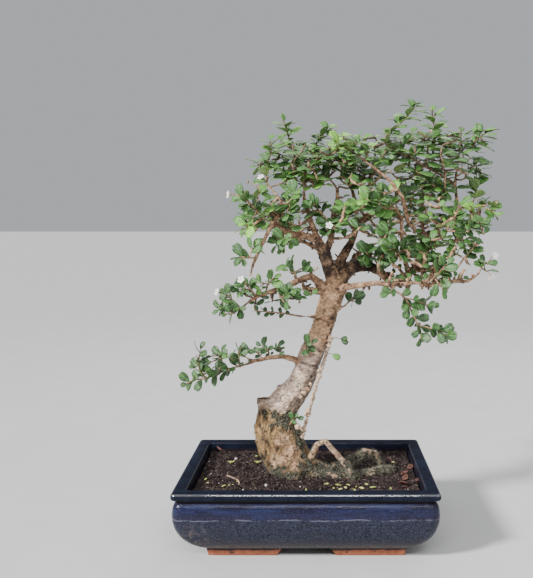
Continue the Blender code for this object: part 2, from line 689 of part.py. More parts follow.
def leaf_pose(key, joint, place, direction):
    """A leaf's matrix, length and width: golden-angle turns, tips young, blades facing up and out."""
    draw = random.Random(key)
    turn = joint * GOLDEN_ANGLE + draw.uniform(-0.3, 0.3)
    across = Quaternion(direction, turn) @ direction.orthogonal().normalized()
    spread = 0.45 if joint == 0 else draw.uniform(0.9, 1.4)
    way = (direction + across * spread + Vector((0, 0, draw.uniform(0.05, 0.45)))).normalized()
    outward = (place - CROWN_HEART).normalized()
    tilt = Vector((draw.uniform(-0.45, 0.45), draw.uniform(-0.45, 0.45), 0))
    facing = Vector((0, 0, 0.65)) + outward * 0.75 + tilt
    side = facing.cross(way).normalized()
    normal = way.cross(side)
    frame = Matrix((way, side, normal)).transposed().to_4x4()
    frame.translation = place
    youth = 0.72 if joint == 0 else 1.0
    length = draw.uniform(*LEAF_LENGTH) * youth
    return frame, length, length * LEAF_WIDTH_SHARE * draw.uniform(0.9, 1.1)


def leaf_blade(name, frame, length, width, thick=LEAF_THICK):
    """An obovate blade with a blunt tip, pointed at its stalk and arched along its rib."""
    root = -0.0003
    widest, half_width = 0.64 * length, 0.5 * width
    tip_half = 0.17 * width
    arch = 0.16
    shape = bmesh.new()
    skins = []
    for lift in (-thick / 2, thick / 2):
        corners = ((root, 0), (widest, half_width), (widest, -half_width),
                   (length, tip_half), (length, -tip_half))
        stalk, wide_left, wide_right, tip_left, tip_right = [
            shape.verts.new((x, y, lift - arch * x * x / length)) for x, y in corners]
        shape.faces.new((stalk, wide_right, wide_left))
        shape.faces.new((wide_left, wide_right, tip_right, tip_left))
        skins.append([stalk, wide_left, tip_left, tip_right, wide_right])
    under, over = skins
    for index in range(len(under)):
        after = (index + 1) % len(under)
        shape.faces.new((under[index], under[after], over[after], over[index]))
    bmesh.ops.transform(shape, matrix=frame, verts=shape.verts)
    return object_from_bmesh(name, shape)


def tree_of(thing):
    shape = bmesh.new()
    shape.from_mesh(thing.data)
    tree = BVHTree.FromBMesh(shape)
    shape.free()
    return tree


def place_leaves(spray, twigs, blocked):
    """Leaves for one spray, leaving out any that would cross the wood or another spray."""
    margin = 0.0008
    stalk_clear = 0.0022
    leaves = []
    for twig, points in enumerate(twigs):
        for joint, (place, direction) in enumerate(leaf_joints(points)):
            if joint >= TUFT_JOINTS and joint % LEAF_EVERY != 1:
                continue
            key = "%s %d %d" % (spray, twig, joint)
            frame, length, width = leaf_pose(key, joint, place, direction)
            lifted = frame.copy()
            lifted.translation = place + frame.col[0].xyz * stalk_clear
            probe = leaf_blade("probe", lifted, length - stalk_clear + margin, width + margin,
                               LEAF_THICK + margin)
            room = tree_of(probe)
            bpy.data.objects.remove(probe, do_unlink=True)
            if any(room.overlap(other) for other in blocked):
                continue
            leaves.append(leaf_blade("leaf", frame, length, width))
            blocked.append(room)
    return leaves


def flower_stalks(spray, twigs):
    """Short stalks, each with the swollen cup that one flower of the spray stands on."""
    stalks = []
    for owner, twig, joint, middle, facing in FLOWERS.values():
        if owner == spray:
            cup = millimetres(middle) - Vector(facing).normalized() * GAP
            start = twigs[twig][joint]
            neck = cup - Vector(facing).normalized() * 0.0016
            stalks.append(tube("stalk", [start, neck, cup], [0.0007, 0.0007, 0.0013]))
    return stalks


def build_sprays(trunk):
    """Every spray, its twigs, stalks and leaves joined into one body."""
    wood = tree_of(trunk)
    stems = {}
    for spray, routes in SPRAYS.items():
        twigs = [[millimetres(point) for point in route] for route in routes]
        twigs[0] = seat_on_wood(wood, twigs[0], twig_radii(len(twigs[0]), True)[0])
        shafts = [tube("twig", points, twig_radii(len(points), index == 0))
                  for index, points in enumerate(twigs)]
        stems[spray] = twigs, shafts, flower_stalks(spray, twigs)
    trees = {spray: [tree_of(shaft) for shaft in shafts + stalks]
             for spray, (_, shafts, stalks) in stems.items()}
    petals = [tree_of(flower) for flower in bpy.data.objects if flower.name.startswith("flower_")]
    leaf_trees = []
    sprays = []
    for spray, (twigs, shafts, stalks) in stems.items():
        others = [tree for name, group in trees.items() if name != spray for tree in group]
        blocked = [wood] + petals + others + leaf_trees
        known = len(blocked)
        leaves = place_leaves(spray, twigs, blocked)
        leaf_trees += blocked[known:]
        shafts[0].name = "spray_" + spray
        combine(shafts[0], shafts[1:] + stalks + leaves, solver="MANIFOLD")
        sprays.append(shafts[0])
    return sprays


def build_flower(name, middle, facing):
    """A white corolla: a short tube that opens into five lobes, like a small star."""
    points = 10
    lobe, notch_radius = 0.0048, 0.0027
    frame = Vector(facing).to_track_quat("Z", "Y").to_matrix().to_4x4()
    frame.translation = millimetres(middle)

    def ring(height, even, odd):
        return [frame @ Vector(((odd if step % 2 else even) * math.cos(math.tau * step / points),
                                (odd if step % 2 else even) * math.sin(math.tau * step / points), height))
                for step in range(points)]

    return loft("flower_" + name, [ring(0.0, 0.0009, 0.0009), ring(0.0019, lobe, notch_radius),
                                   ring(0.0027, lobe, notch_radius), ring(0.0020, 0.0009, 0.0009)])


def build_bonsai():
    clear_scene()
    glaze = material("blue_glaze", (0.016, 0.022, 0.060), 0.18)
    bark = material("bark", (0.33, 0.23, 0.155), 0.85)
    green = material("leaf", (0.085, 0.19, 0.045), 0.45)
    white = material("petal", (0.82, 0.80, 0.72), 0.6)
    earth = material("soil", (0.050, 0.032, 0.026), 0.95)
    plastic = material("screen_plastic", (0.02, 0.02, 0.02), 0.6)

    painted = [(build_pot(), glaze), (build_soil(), earth)]
    painted.append((build_drain_screen("drain_screen_left", -DRAIN_X), plastic))
    painted.append((build_drain_screen("drain_screen_right", DRAIN_X), plastic))
    trunk = build_trunk()
    painted.append((trunk, bark))
    for name, (_, _, _, middle, facing) in FLOWERS.items():
        painted.append((build_flower(name, middle, facing), white))
    painted += [(spray, green) for spray in build_sprays(trunk)]

    bonsai = bpy.data.collections.new("fukien_tea_bonsai")
    bpy.context.scene.collection.children.link(bonsai)
    stand = bpy.data.objects.new("stand", None)
    bonsai.objects.link(stand)
    low = Vector((math.inf,) * 3)
    high = -low
    for piece, surface in painted:
        piece.data.materials.clear()
        piece.data.materials.append(surface)
        bpy.context.scene.collection.objects.unlink(piece)
        bonsai.objects.link(piece)
        piece.parent = stand
        for vertex in piece.data.vertices:
            low = Vector(map(min, low, vertex.co))
            high = Vector(map(max, high, vertex.co))
    stand.location = (-(low.x + high.x) / 2, -(low.y + high.y) / 2, -low.z)


build_bonsai()
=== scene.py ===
"""Fukien tea bonsai in a glazed oblong pot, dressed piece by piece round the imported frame.

Metres, +Z up, the pot's front towards -Y. Places on the tree and on the soil are given in millimetres from
the middle of the pot's underside, and one function turns them into places in the frame.
"""
import math
import random

import bmesh
import bpy
import numpy as np
from mathutils import Matrix, Quaternion, Vector, noise
from mathutils.bvhtree import BVHTree
from mathutils.kdtree import KDTree


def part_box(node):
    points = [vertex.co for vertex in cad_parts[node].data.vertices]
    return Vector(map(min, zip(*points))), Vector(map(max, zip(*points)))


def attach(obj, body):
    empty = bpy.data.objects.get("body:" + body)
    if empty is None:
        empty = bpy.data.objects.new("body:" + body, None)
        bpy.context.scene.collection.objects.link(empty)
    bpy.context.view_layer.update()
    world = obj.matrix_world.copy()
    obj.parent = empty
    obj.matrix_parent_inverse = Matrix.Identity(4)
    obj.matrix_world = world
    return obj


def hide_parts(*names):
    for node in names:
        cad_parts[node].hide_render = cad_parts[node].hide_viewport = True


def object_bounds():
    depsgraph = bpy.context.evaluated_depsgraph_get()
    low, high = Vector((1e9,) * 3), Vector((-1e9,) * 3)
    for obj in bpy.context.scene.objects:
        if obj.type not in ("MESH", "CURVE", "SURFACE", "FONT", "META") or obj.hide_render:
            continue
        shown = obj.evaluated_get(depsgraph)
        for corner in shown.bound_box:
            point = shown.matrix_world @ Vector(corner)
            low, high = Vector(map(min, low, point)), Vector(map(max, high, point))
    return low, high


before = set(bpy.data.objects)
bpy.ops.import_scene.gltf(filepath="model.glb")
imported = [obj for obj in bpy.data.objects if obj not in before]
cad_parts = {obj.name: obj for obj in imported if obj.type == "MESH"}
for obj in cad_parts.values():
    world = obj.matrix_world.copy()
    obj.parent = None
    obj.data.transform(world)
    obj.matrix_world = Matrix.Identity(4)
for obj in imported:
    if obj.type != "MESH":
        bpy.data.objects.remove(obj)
cad_low, cad_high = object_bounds()

# Pot
# Stoneware, pressed and fired in one piece, with a flat rim, a recessed neck and a bellied body. It was
# dipped in dark blue glaze as far as its four corner feet, which stay bare terracotta and carry it.

MM = 0.001
RIM = 80.0
CORNER_STEPS = 8
BELLY_STEPS, BELLY_TOP, BELLY_DROP, BELLY_TUCK = 10, 53.0, 43.5, 37.7
FOOT_TOP, FOOT_SUNK = 9.5, 2.0
FOOT_HALF, FOOT_TAPER, FOOT_WALL = (114.0, 86.0), 2.5, 12.0
NOTCH_TOP, NOTCH_SLOPE = (24.0, 20.0), (1.0, 0.76)
DRAIN_X, DRAIN_RADIUS, DRAIN_MIDDLE, DRAIN_DEPTH = 62.0, 10.0, 18.0, 40.0

pot_low, pot_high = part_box("pot")
pot_middle = Vector(((pot_low.x + pot_high.x) / 2, (pot_low.y + pot_high.y) / 2, pot_low.z))
pot_half_x = (pot_high.x - pot_low.x) / 2
pot_half_y = (pot_high.y - pot_low.y) / 2


def at(x, y, z):
    """A place in the frame, from millimetres off the middle of the pot's underside."""
    return pot_middle + Vector((x, y, z)) * MM


def start_fresh():
    """Back to object mode with nothing selected, since operators act on all that is selected."""
    if bpy.context.object and bpy.context.object.mode != "OBJECT":
        bpy.ops.object.mode_set(mode="OBJECT")
    bpy.ops.object.select_all(action="DESELECT")


def take(piece):
    """Make one piece the selected and active one."""
    start_fresh()
    piece.select_set(True)
    bpy.context.view_layer.objects.active = piece


def fix_place():
    """Write the selected object's place, turn and size into its mesh."""
    bpy.ops.object.transform_apply(location=True, rotation=True, scale=True)


def settle(piece, name):
    """Name a piece and keep its place in its mesh, as the frame's own nodes do."""
    take(piece)
    fix_place()
    piece.name = piece.data.name = name
    return piece


def discard(*pieces):
    """Remove what was only a start, a pattern or a cutter for other pieces."""
    for piece in pieces:
        bpy.data.objects.remove(piece, do_unlink=True)


def coat(piece, *finishes):
    """Give a piece these finishes and no others."""
    piece.data.materials.clear()
    for finish in finishes:
        piece.data.materials.append(finish)


def apply_modifier(piece, kind, **settings):
    """Add one modifier with its settings and apply it at once."""
    take(piece)
    modifier = piece.modifiers.new(kind.lower(), kind)
    for setting, value in settings.items():
        setattr(modifier, setting, value)
    bpy.ops.object.modifier_apply(modifier=modifier.name)


def smooth(piece, degrees):
    """Shade a piece smooth, except across edges sharper than this."""
    take(piece)
    bpy.ops.object.shade_smooth_by_angle(angle=math.radians(degrees))


def belong(piece, slot, *nodes):
    """The piece rides with the tree's one body and stands for these nodes. Its slot is not used."""
    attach(piece, "root")
    if nodes:
        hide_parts(*nodes)


def edit_all():
    """Into edit mode with the whole of the active mesh selected."""
    bpy.ops.object.mode_set(mode="EDIT")
    bpy.ops.mesh.select_all(action="SELECT")


def faces_out():
    """Turn every face of the edited mesh outwards, and leave edit mode."""
    bpy.ops.mesh.select_all(action="SELECT")
    bpy.ops.mesh.normals_make_consistent(inside=False)
    bpy.ops.object.mode_set(mode="OBJECT")


def select_tops(piece):
    """Select the faces of the edited mesh that look up."""
    shape = bmesh.from_edit_mesh(piece.data)
    for face in shape.faces:
        face.select = face.normal.z > 0.9


def rim_outline(inset, height, radius, depth_share=1.0):
    """Points round the pot at one level, with its four corners rounded."""
    half_x = pot_half_x - inset * MM
    half_y = pot_half_y - inset * MM * depth_share
    points = []
    for corner, (sx, sy) in enumerate(((1, 1), (-1, 1), (-1, -1), (1, -1))):
        for step in range(CORNER_STEPS + 1):
            angle = math.pi / 2 * (corner + step / CORNER_STEPS)
            points.append(pot_middle + Vector((sx * (half_x - radius * MM) + radius * MM * math.cos(angle),
                                               sy * (half_y - radius * MM) + radius * MM * math.sin(angle),
                                               height * MM)))
    return points


def extrude(x=0, y=0, z=0):
    """Extrude what is selected, and move what that makes by these millimetres."""
    bpy.ops.mesh.extrude_region_move(TRANSFORM_OT_translate={"value": (x * MM, y * MM, z * MM)})


def pull_wall(levels):
    """Lay the selected face on the first level's outline, then extrude it on to each of the others."""
    for index, level in enumerate(levels):
        if index:
            extrude()
        shape = bmesh.from_edit_mesh(bpy.context.object.data)
        end = next(face for face in shape.faces if face.select)
        for vertex, point in zip(end.verts, rim_outline(*level)):
            vertex.co = point
        bmesh.update_edit_mesh(bpy.context.object.data)


# Each level of the wall: inset, height and corner radius in millimetres, and the inset's share front to back.
belly = []
for step in range(BELLY_STEPS + 1):
    bend = math.radians(90 * (1 - step / BELLY_STEPS))
    tuck = 1 - math.cos(bend)
    belly.append((0.3 + BELLY_TUCK * tuck, BELLY_TOP - BELLY_DROP * math.sin(bend), 11 + 9 * tuck, 0.62))
shoulder = [(0.6, 57, 10.5, 0.7), (1.2, 61, 10, 0.8), (2.2, 64.5, 9.5, 0.9), (3.6, 67.0, 9), (5.0, 68.3, 8.2)]
neck = [(5.7, 69.2, 7.6), (5.6, 70.5, 7.4), (4.4, 71.2, 7.0), (1.6, 71.6, 6.4)]
lip = [(0.5, 72.3, 6.0), (0.1, 73.4, 5.8), (0, 74.8, 5.6), (0, 76.6, 5.6), (0.3, 78.1, 5.4), (1.0, 79.2, 5.0),
       (2.0, 79.8, 4.6), (3.4, RIM, 4.2), (12.6, RIM, 5.4), (14.4, 79.7, 5.4), (15.5, 79.0, 5.2),
       (16, 77.8, 5)]
hollow = [(16.6, 70, 6), (18, 57, 8), (20, 42, 10, 0.95), (29.5, 23, 10, 0.85), (35.5, 18, 10, 0.85)]

start_fresh()
bpy.ops.mesh.primitive_circle_add(vertices=4 * (CORNER_STEPS + 1), radius=0.1, fill_type="NGON")
pot = bpy.context.object
edit_all()
pull_wall(belly + shoulder + neck + lip + hollow)
faces_out()


def block(half_x, half_y, low, high, top_scale=(1, 1), corner=0.0):
    """A cube at its size under the pot, its upright edges rounded and its top face drawn in or out."""
    start_fresh()
    bpy.ops.mesh.primitive_cube_add(size=2, location=at(0, 0, (low + high) / 2),
                                    scale=(half_x * MM, half_y * MM, (high - low) / 2 * MM))
    made = bpy.context.object
    fix_place()
    bpy.ops.object.mode_set(mode="EDIT")
    shape = bmesh.from_edit_mesh(made.data)
    for edge in shape.edges:
        ends = [vertex.co for vertex in edge.verts]
        edge.select = (ends[0] - ends[1]).normalized().z ** 2 > 0.5
    shape.select_flush_mode()
    if corner:
        bpy.ops.mesh.bevel(offset=corner * MM, segments=4)
    bpy.ops.mesh.select_all(action="DESELECT")
    select_tops(made)
    bpy.ops.transform.resize(value=(*top_scale, 1), center_override=at(0, 0, high))
    bpy.ops.object.mode_set(mode="OBJECT")
    return made


def cut(piece, *cutters, operation="DIFFERENCE"):
    """Join or cut a piece by others, which are then gone."""
    for cutter in cutters:
        apply_modifier(piece, "BOOLEAN", object=cutter, operation=operation, solver="EXACT")
        discard(cutter)


foot_low_scale = [(half - FOOT_TAPER) / half for half in FOOT_HALF]
feet = block(FOOT_HALF[0] - FOOT_TAPER, FOOT_HALF[1] - FOOT_TAPER, 0, FOOT_TOP + FOOT_SUNK,
             [1 / share for share in foot_low_scale], corner=6)
core = block(FOOT_HALF[0] - FOOT_WALL, FOOT_HALF[1] - FOOT_WALL, -2, FOOT_TOP + 6, corner=4)
notch_low = [top + slope * (FOOT_TOP + 2) for top, slope in zip(NOTCH_TOP, NOTCH_SLOPE)]
notch_front = block(notch_low[0], FOOT_HALF[1] + 5, -2, FOOT_TOP + 4, (NOTCH_TOP[0] / notch_low[0], 1))
notch_side = block(FOOT_HALF[0] + 5, notch_low[1], -2, FOOT_TOP + 4, (1, NOTCH_TOP[1] / notch_low[1]))
cut(feet, core, notch_front, notch_side)
apply_modifier(feet, "BEVEL", width=0.7 * MM, segments=2, limit_method="ANGLE", angle_limit=math.radians(40))
cut(pot, feet, operation="UNION")
drains = []
for side in (-1, 1):
    start_fresh()
    bpy.ops.mesh.primitive_cylinder_add(vertices=32, radius=DRAIN_RADIUS * MM, depth=DRAIN_DEPTH * MM,
                                        location=at(side * DRAIN_X, 0, DRAIN_MIDDLE))
    drains.append(settle(bpy.context.object, "drain"))
cut(pot, *drains)
settle(pot, "pot_glazed")
smooth(pot, 38)


def node(tree, kind, sockets=(), **settings):
    """One node: its settings, and for each socket a number, a colour or the output that feeds it."""
    made = tree.nodes.new("ShaderNode" + kind)
    for setting, value in settings.items():
        setattr(made, setting, value)
    for socket, value in dict(sockets).items():
        if isinstance(value, bpy.types.NodeSocket):
            tree.links.new(value, made.inputs[socket])
        else:
            made.inputs[socket].default_value = value
    return made


def ramp(fac, *stops):
    """The colour or grey that a value is turned into, from (place, colour) stops."""
    made = node(fac.id_data, "ValToRGB", {"Fac": fac})
    elements = made.color_ramp.elements
    while len(elements) < len(stops):
        elements.new(0.5)
    for element, (place, colour) in zip(elements, stops):
        element.position = place
        element.color = (*colour, 1) if isinstance(colour, tuple) else (colour, colour, colour, 1)
    return made.outputs["Color"]


def band(value, low, high):
    """A smooth rise from 0 to 1 as a value goes from low to high."""
    return node(value.id_data, "MapRange", {"Value": value, "From Min": low, "From Max": high},
                interpolation_type="SMOOTHSTEP").outputs["Result"]


def maths(operation, first, second=0.0):
    """What an operation makes of a value, or of two."""
    return node(first.id_data, "Math", {0: first, 1: second}, operation=operation).outputs["Value"]


def times(first, second):
    """One value multiplied by another, or by a number."""
    return maths("MULTIPLY", first, second)


def plus(first, second):
    """The sum of two values, or of a value and a number."""
    return maths("ADD", first, second)


def minus(first, second):
    """A value less another, or less a number."""
    return maths("SUBTRACT", first, second)


def vector_maths(operation, first, second=(0, 0, 0), output="Vector"):
    """What an operation makes of a vector, or of two: a vector, or one value where output says so."""
    return node(first.id_data, "VectorMath", {0: first, 1: second}, operation=operation).outputs[output]


def axis(vector, name):
    """One of a vector's three numbers, by its axis."""
    return node(vector.id_data, "SeparateXYZ", {"Vector": vector}).outputs[name]


def mixed(fac, first, second):
    """The first colour where fac is 0 and the second where it is 1."""
    made = node(fac.id_data, "Mix", {"Factor": fac}, data_type="RGBA")
    for socket, value in ((6, first), (7, second)):
        if isinstance(value, bpy.types.NodeSocket):
            made.id_data.links.new(value, made.inputs[socket])
        else:
            made.inputs[socket].default_value = (*value, 1)
    return made.outputs[2]


def new_group(name, inputs, outputs):
    """A shader group with named inputs (name, kind, value) and outputs (name, kind)."""
    group = bpy.data.node_groups.new(name, "ShaderNodeTree")
    for label, kind, value in inputs:
        socket = group.interface.new_socket(name=label, in_out="INPUT", socket_type="NodeSocket" + kind)
        if value is not None:
            socket.default_value = value
    for label, kind in outputs:
        group.interface.new_socket(name=label, in_out="OUTPUT", socket_type="NodeSocket" + kind)
    return group, group.nodes.new("NodeGroupInput").outputs, group.nodes.new("NodeGroupOutput")


patches, given, result = new_group(
    "patches", [("Vector", "Vector", None), ("Scale", "Float", 100.0), ("Low", "Float", 0.4),
                ("High", "Float", 0.6), ("Rough", "Float", 0.6)], [("Mask", "Float")])
clouds = node(patches, "TexNoise", {"Vector": given["Vector"], "Scale": given["Scale"], "Detail": 5.0,
                                    "Roughness": given["Rough"]}).outputs["Fac"]
patches.links.new(band(clouds, given["Low"], given["High"]), result.inputs["Mask"])


def mask(vector, scale, low, high, rough=0.6):
    """Soft-edged patches of a given size, shared by every finish on the tree and its pot."""
    return node(vector.id_data, "Group", {"Vector": vector, "Scale": scale, "Low": low, "High": high,
                                          "Rough": rough}, node_tree=patches).outputs["Mask"]


def new_finish(name, **plain):
    """A material with its own Principled shader, whose steady values are set on its sockets."""
    finish = bpy.data.materials.new(name)
    finish.use_nodes = True
    shader = finish.node_tree.nodes["Principled BSDF"]
    for socket, value in plain.items():
        shader.inputs[socket.replace("_", " ")].default_value = value
    return finish, finish.node_tree, shader


def centred(tree, stretch=(1, 1, 1)):
    """Object coordinates measured from the middle of the pot's underside, stretched along an axis."""
    place = node(tree, "TexCoord").outputs["Object"]
    return vector_maths("MULTIPLY", vector_maths("ADD", place, tuple(-pot_middle)), stretch)


def feed(shader, **outputs):
    """Let an output feed each named socket of a shader."""
    for socket, output in outputs.items():
        shader.id_data.links.new(output, shader.inputs[socket.replace("_", " ")])


def bump(height, distance, strength=1.0, under=None):
    """A normal raised by a height, on top of another where one is given."""
    sockets = {"Height": height, "Distance": distance, "Strength": strength}
    if under is not None:
        sockets["Normal"] = under
    return node(height.id_data, "Bump", sockets).outputs["Normal"]


def spot(centre, place, radius, soft=0.5):
    """1 within a ball round a place in millimetres, fading out over its soft edge."""
    far = vector_maths("DISTANCE", centre, tuple(value * MM for value in place), "Value")
    return band(far, radius * MM, radius * (1 - soft) * MM)


# Levels on the glaze in metres above the table, each as the two ends of a soft step.
SPECKLED_BELOW, PLUM_BELOW, HEM_BELOW = (0.0530, 0.0515), (0.0590, 0.0550), (0.0300, 0.0120)
LINE_ABOVE, LINE_BELOW = (0.0508, 0.0516), (0.0530, 0.0522)
NECK_ABOVE, NECK_BELOW = (0.0665, 0.0690), (0.0722, 0.0710)
LIP_ABOVE, LIP_TOP_ABOVE = (0.0712, 0.0722), (0.0760, 0.0785)
WORN_CORNER, WORN_RADIUS = (-123, -101, 29), 22  # in millimetres

glaze, tree, shader = new_finish("blue_glaze", Specular_IOR_Level=0.22, Coat_IOR=2.2)
middle = centred(tree)
height = axis(middle, "Z")
level = plus(height, times(mask(middle, 26.0, 0.2, 0.8), 0.0035))
low_body = band(level, *SPECKLED_BELOW)
on_lip = band(height, *LIP_ABOVE)
on_lip_top = band(height, *LIP_TOP_ABOVE)
facing_up = axis(node(tree, "NewGeometry").outputs["Normal"], "Z")
runs = mask(centred(tree, (0.2, 0.2, 1.8)), 120.0, 0.36, 0.64)
speckle = mask(middle, 1150.0, 0.55, 0.68, 0.4)
grain = mask(middle, 320.0, 0.35, 0.7)

# Cobalt on the shoulder, clouded with plum along its foot, and speckled slate on the belly, with a pale
# broken line where they meet. One corner is worn brown, and the body darkens to brown towards the feet. The
# neck, recessed under the lip, is painted nearly black as shade, and the lip is navy with a brown edge.
cobalt = mixed(runs, (0.0080, 0.0065, 0.0150), (0.0105, 0.0135, 0.0430))
plum = times(band(level, *PLUM_BELOW), mask(middle, 30.0, 0.30, 0.55))
cobalt = mixed(times(plum, 0.8), cobalt, (0.0130, 0.0095, 0.0220))
cobalt = mixed(times(speckle, 0.60), cobalt, (0.045, 0.055, 0.135))
slate = mixed(grain, (0.0062, 0.0068, 0.0140), (0.0160, 0.0182, 0.0350))
slate = mixed(times(mask(middle, 35.0, 0.45, 0.70), 0.7), slate, (0.0130, 0.0115, 0.0190))
slate = mixed(speckle, slate, (0.068, 0.080, 0.122))
body = mixed(low_body, cobalt, slate)
pale_line = times(band(level, *LINE_ABOVE), band(level, *LINE_BELOW))
pale_line = times(pale_line, mask(middle, 60.0, 0.42, 0.55))
body = mixed(times(pale_line, 0.40), body, (0.16, 0.16, 0.22))
worn = times(spot(middle, WORN_CORNER, WORN_RADIUS, 0.8), mask(middle, 90.0, 0.42, 0.6))
body = mixed(times(worn, 0.7), body, (0.100, 0.080, 0.072))
# The body darkens to brown towards the bottom, above the feet.
hem = times(band(level, *HEM_BELOW), 0.85)
body = mixed(hem, body, (0.030, 0.020, 0.018))
# Painted shade in the recessed neck under the lip.
neck_shade = times(band(height, *NECK_ABOVE), band(height, *NECK_BELOW))
body = mixed(neck_shade, body, (0.014, 0.010, 0.012))
navy = mixed(mask(middle, 45.0, 0.35, 0.7), (0.0035, 0.0045, 0.0090), (0.0075, 0.0100, 0.0210))
navy = mixed(times(speckle, 0.3), navy, (0.04, 0.055, 0.11))
body = mixed(on_lip, body, navy)
edge = times(band(facing_up, 0.30, 0.55), band(facing_up, 0.97, 0.80))
edge = times(times(edge, on_lip_top), mask(middle, 70.0, 0.35, 0.6))
body = mixed(times(edge, 0.5), body, (0.035, 0.026, 0.030))

# The body's gloss follows its runs and grain. The lip's flat top hardly shines, and its outer edge does most.
rough_low = ramp(grain, (0.0, 0.26), (1.0, 0.46))
rough_high = ramp(runs, (0.0, 0.13), (1.0, 0.24))
roughness = mixed(low_body, rough_high, rough_low)
inward = tuple(4 * MM - half for half in (pot_half_x, pot_half_y)) + (0,)
from_side = vector_maths("ADD", vector_maths("ABSOLUTE", middle), inward)
outermost = maths("MAXIMUM", axis(from_side, "X"), axis(from_side, "Y"))
turned = times(band(facing_up, 0.12, 0.35), band(facing_up, 0.97, 0.85))
turned = times(times(turned, on_lip_top), band(outermost, 0, MM))
sheen = mixed(on_lip, (0.22, 0.22, 0.22), (0.10, 0.10, 0.10))
sheen = mixed(band(facing_up, 0.80, 0.98), sheen, (0.008, 0.008, 0.008))
sheen = mixed(turned, sheen, (1.0, 1.0, 1.0))
skin = plus(mask(middle, 210.0, 0.2, 0.8), times(speckle, 0.25))
skin_depth = plus(times(turned, -0.28), 0.35)
feed(shader, Base_Color=body, Roughness=roughness, Specular_IOR_Level=sheen, Coat_Weight=turned,
     Normal=bump(skin, 0.0006, skin_depth))

terracotta, tree, shader = new_finish("bare_terracotta", Roughness=0.85)
middle = centred(tree)
clay = mixed(mask(middle, 140.0, 0.3, 0.7), (0.250, 0.074, 0.034), (0.390, 0.128, 0.060))
clay = mixed(times(mask(middle, 120.0, 0.60, 0.66), 0.9), clay, (0.035, 0.020, 0.016))
# The foot's top is dark where the glaze ran onto it, with painted shade under the pot's body.
glaze_hem_and_shade = plus(axis(middle, "Z"), times(mask(middle, 60.0, 0.2, 0.8), 0.0026))
clay = mixed(band(glaze_hem_and_shade, 0.0076, 0.0086), clay, (0.022, 0.016, 0.018))
feed(shader, Base_Color=clay, Normal=bump(mask(middle, 700.0, 0.3, 0.7), 0.0005, 0.5))

coat(pot, glaze, terracotta)
bare_below = pot_middle.z + (FOOT_TOP + 0.2) * MM
for face in pot.data.polygons:
    face.material_index = int(face.center.z < bare_below)
belong(pot, "glaze", "pot")

# Drain screens
# Two squares of black plastic netting that lie over the drain holes and keep the soil in. Their CAD solids
# have the right form, so they stay and get the netting's finish.


def mottled(name, patch, dark, light, relief, flecks=None, **plain):
    """A finish in two tones by patches (scale, low, high), with flecks (patch, colour) and a fine relief."""
    finish, tree, shader = new_finish(name, **plain)
    middle = centred(tree)
    colour = mixed(mask(middle, *patch), dark, light)
    if flecks:
        colour = mixed(mask(middle, *flecks[0]), colour, flecks[1])
    scale, depth, strength = relief
    feed(shader, Base_Color=colour, Normal=bump(mask(middle, scale, 0.3, 0.7), depth, strength))
    return finish


netting = mottled("screen_plastic", (300.0, 0.45, 0.65), (0.012, 0.012, 0.012), (0.070, 0.055, 0.045),
                  (900.0, 0.0002, 0.4), Roughness=0.55)
for name in ("drain_screen_left", "drain_screen_right"):
    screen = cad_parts[name]
    coat(screen, netting)

# Soil
# A dark, crumbly potting mix that fills the pot round the roots, mounded a little at the trunk. Its surface
# is a fine grid raised by noise, and coarser crumbs lie pressed into it.

SOIL_LEVEL, SOIL_MOUND, MOUND_X, MOUND_REACH = 68.0, 4.5, -10.0, 55.0
SOIL_WAVE, SOIL_WAVE_SCALE = 1.6, 42.0
SOIL_DEPTH, SOIL_GRID, SOIL_CORNER, SOIL_TAPER = 30.0, (210, 144), 5.5, 0.93
WALL_GAP = 0.4              # millimetres between the soil and the pot's wall
TRUNK_FOOT = (-14, -4, 34, 30)                  # the middle and half sizes of the ring that it takes up
ROOTS_REACH, ROOTS_SLOPE, ROOTS_OFF, ROOTS_HALF = 110, 0.12, 8, 16     # the roots' own strip of soil
CRUMBS, CRUMB_SIZE = 900, (1.2, 4.0)

soil_low, soil_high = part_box("soil")
soil_half_x = (soil_high.x - soil_low.x) / 2 / MM - WALL_GAP
soil_half_y = (soil_high.y - soil_low.y) / 2 / MM - WALL_GAP


def soil_height(x, y):
    """Millimetres above the table: the mound and the slow waves, without the crumbs."""
    away = math.hypot(x - MOUND_X, y) / MOUND_REACH
    wave = noise.noise(Vector((x * MM, y * MM, 0)) * SOIL_WAVE_SCALE)
    return SOIL_LEVEL + SOIL_MOUND * math.exp(-away * away) + SOIL_WAVE * wave


def crumbs(x, y):
    """The crumbs' own height in millimetres, from noise at three sizes."""
    coarse = noise.noise(Vector((x, y, 3.1)) * 0.17)
    middling = abs(noise.noise(Vector((x, y, 7.7)) * 0.36))
    fine = noise.noise(Vector((x, y, 1.3)) * 0.85)
    return 1.6 * coarse + 3.6 * middling + fine - 0.9


def on_soil(x, y, lift=0.0):
    """A place on the crumbs, or this far above them."""
    return at(x, y, soil_height(x, y) + crumbs(x, y) + lift)


def round_corner(x, y, radius):
    """Pull a point of the soil's edge in to the pot's rounded inner corner."""
    inner_x, inner_y = soil_half_x - radius, soil_half_y - radius
    over = Vector((abs(x) - inner_x, abs(y) - inner_y))
    if min(over) > 0 and over.length > radius:
        over = over.normalized() * radius
        return math.copysign(inner_x + over.x, x), math.copysign(inner_y + over.y, y)
    return x, y


start_fresh()
bpy.ops.mesh.primitive_grid_add(x_subdivisions=SOIL_GRID[0], y_subdivisions=SOIL_GRID[1], size=2)
soil = bpy.context.object
for vertex in soil.data.vertices:
    x, y = round_corner(vertex.co.x * soil_half_x, vertex.co.y * soil_half_y, SOIL_CORNER)
    vertex.co = on_soil(x, y)
edit_all()
extrude(z=-SOIL_DEPTH)
bpy.ops.transform.resize(value=(SOIL_TAPER, SOIL_TAPER, 0), center_override=at(0, 0, SOIL_LEVEL - SOIL_DEPTH))
faces_out()


def placed(thing):
    """Put a new object in the scene."""
    bpy.context.scene.collection.objects.link(thing)
    return thing


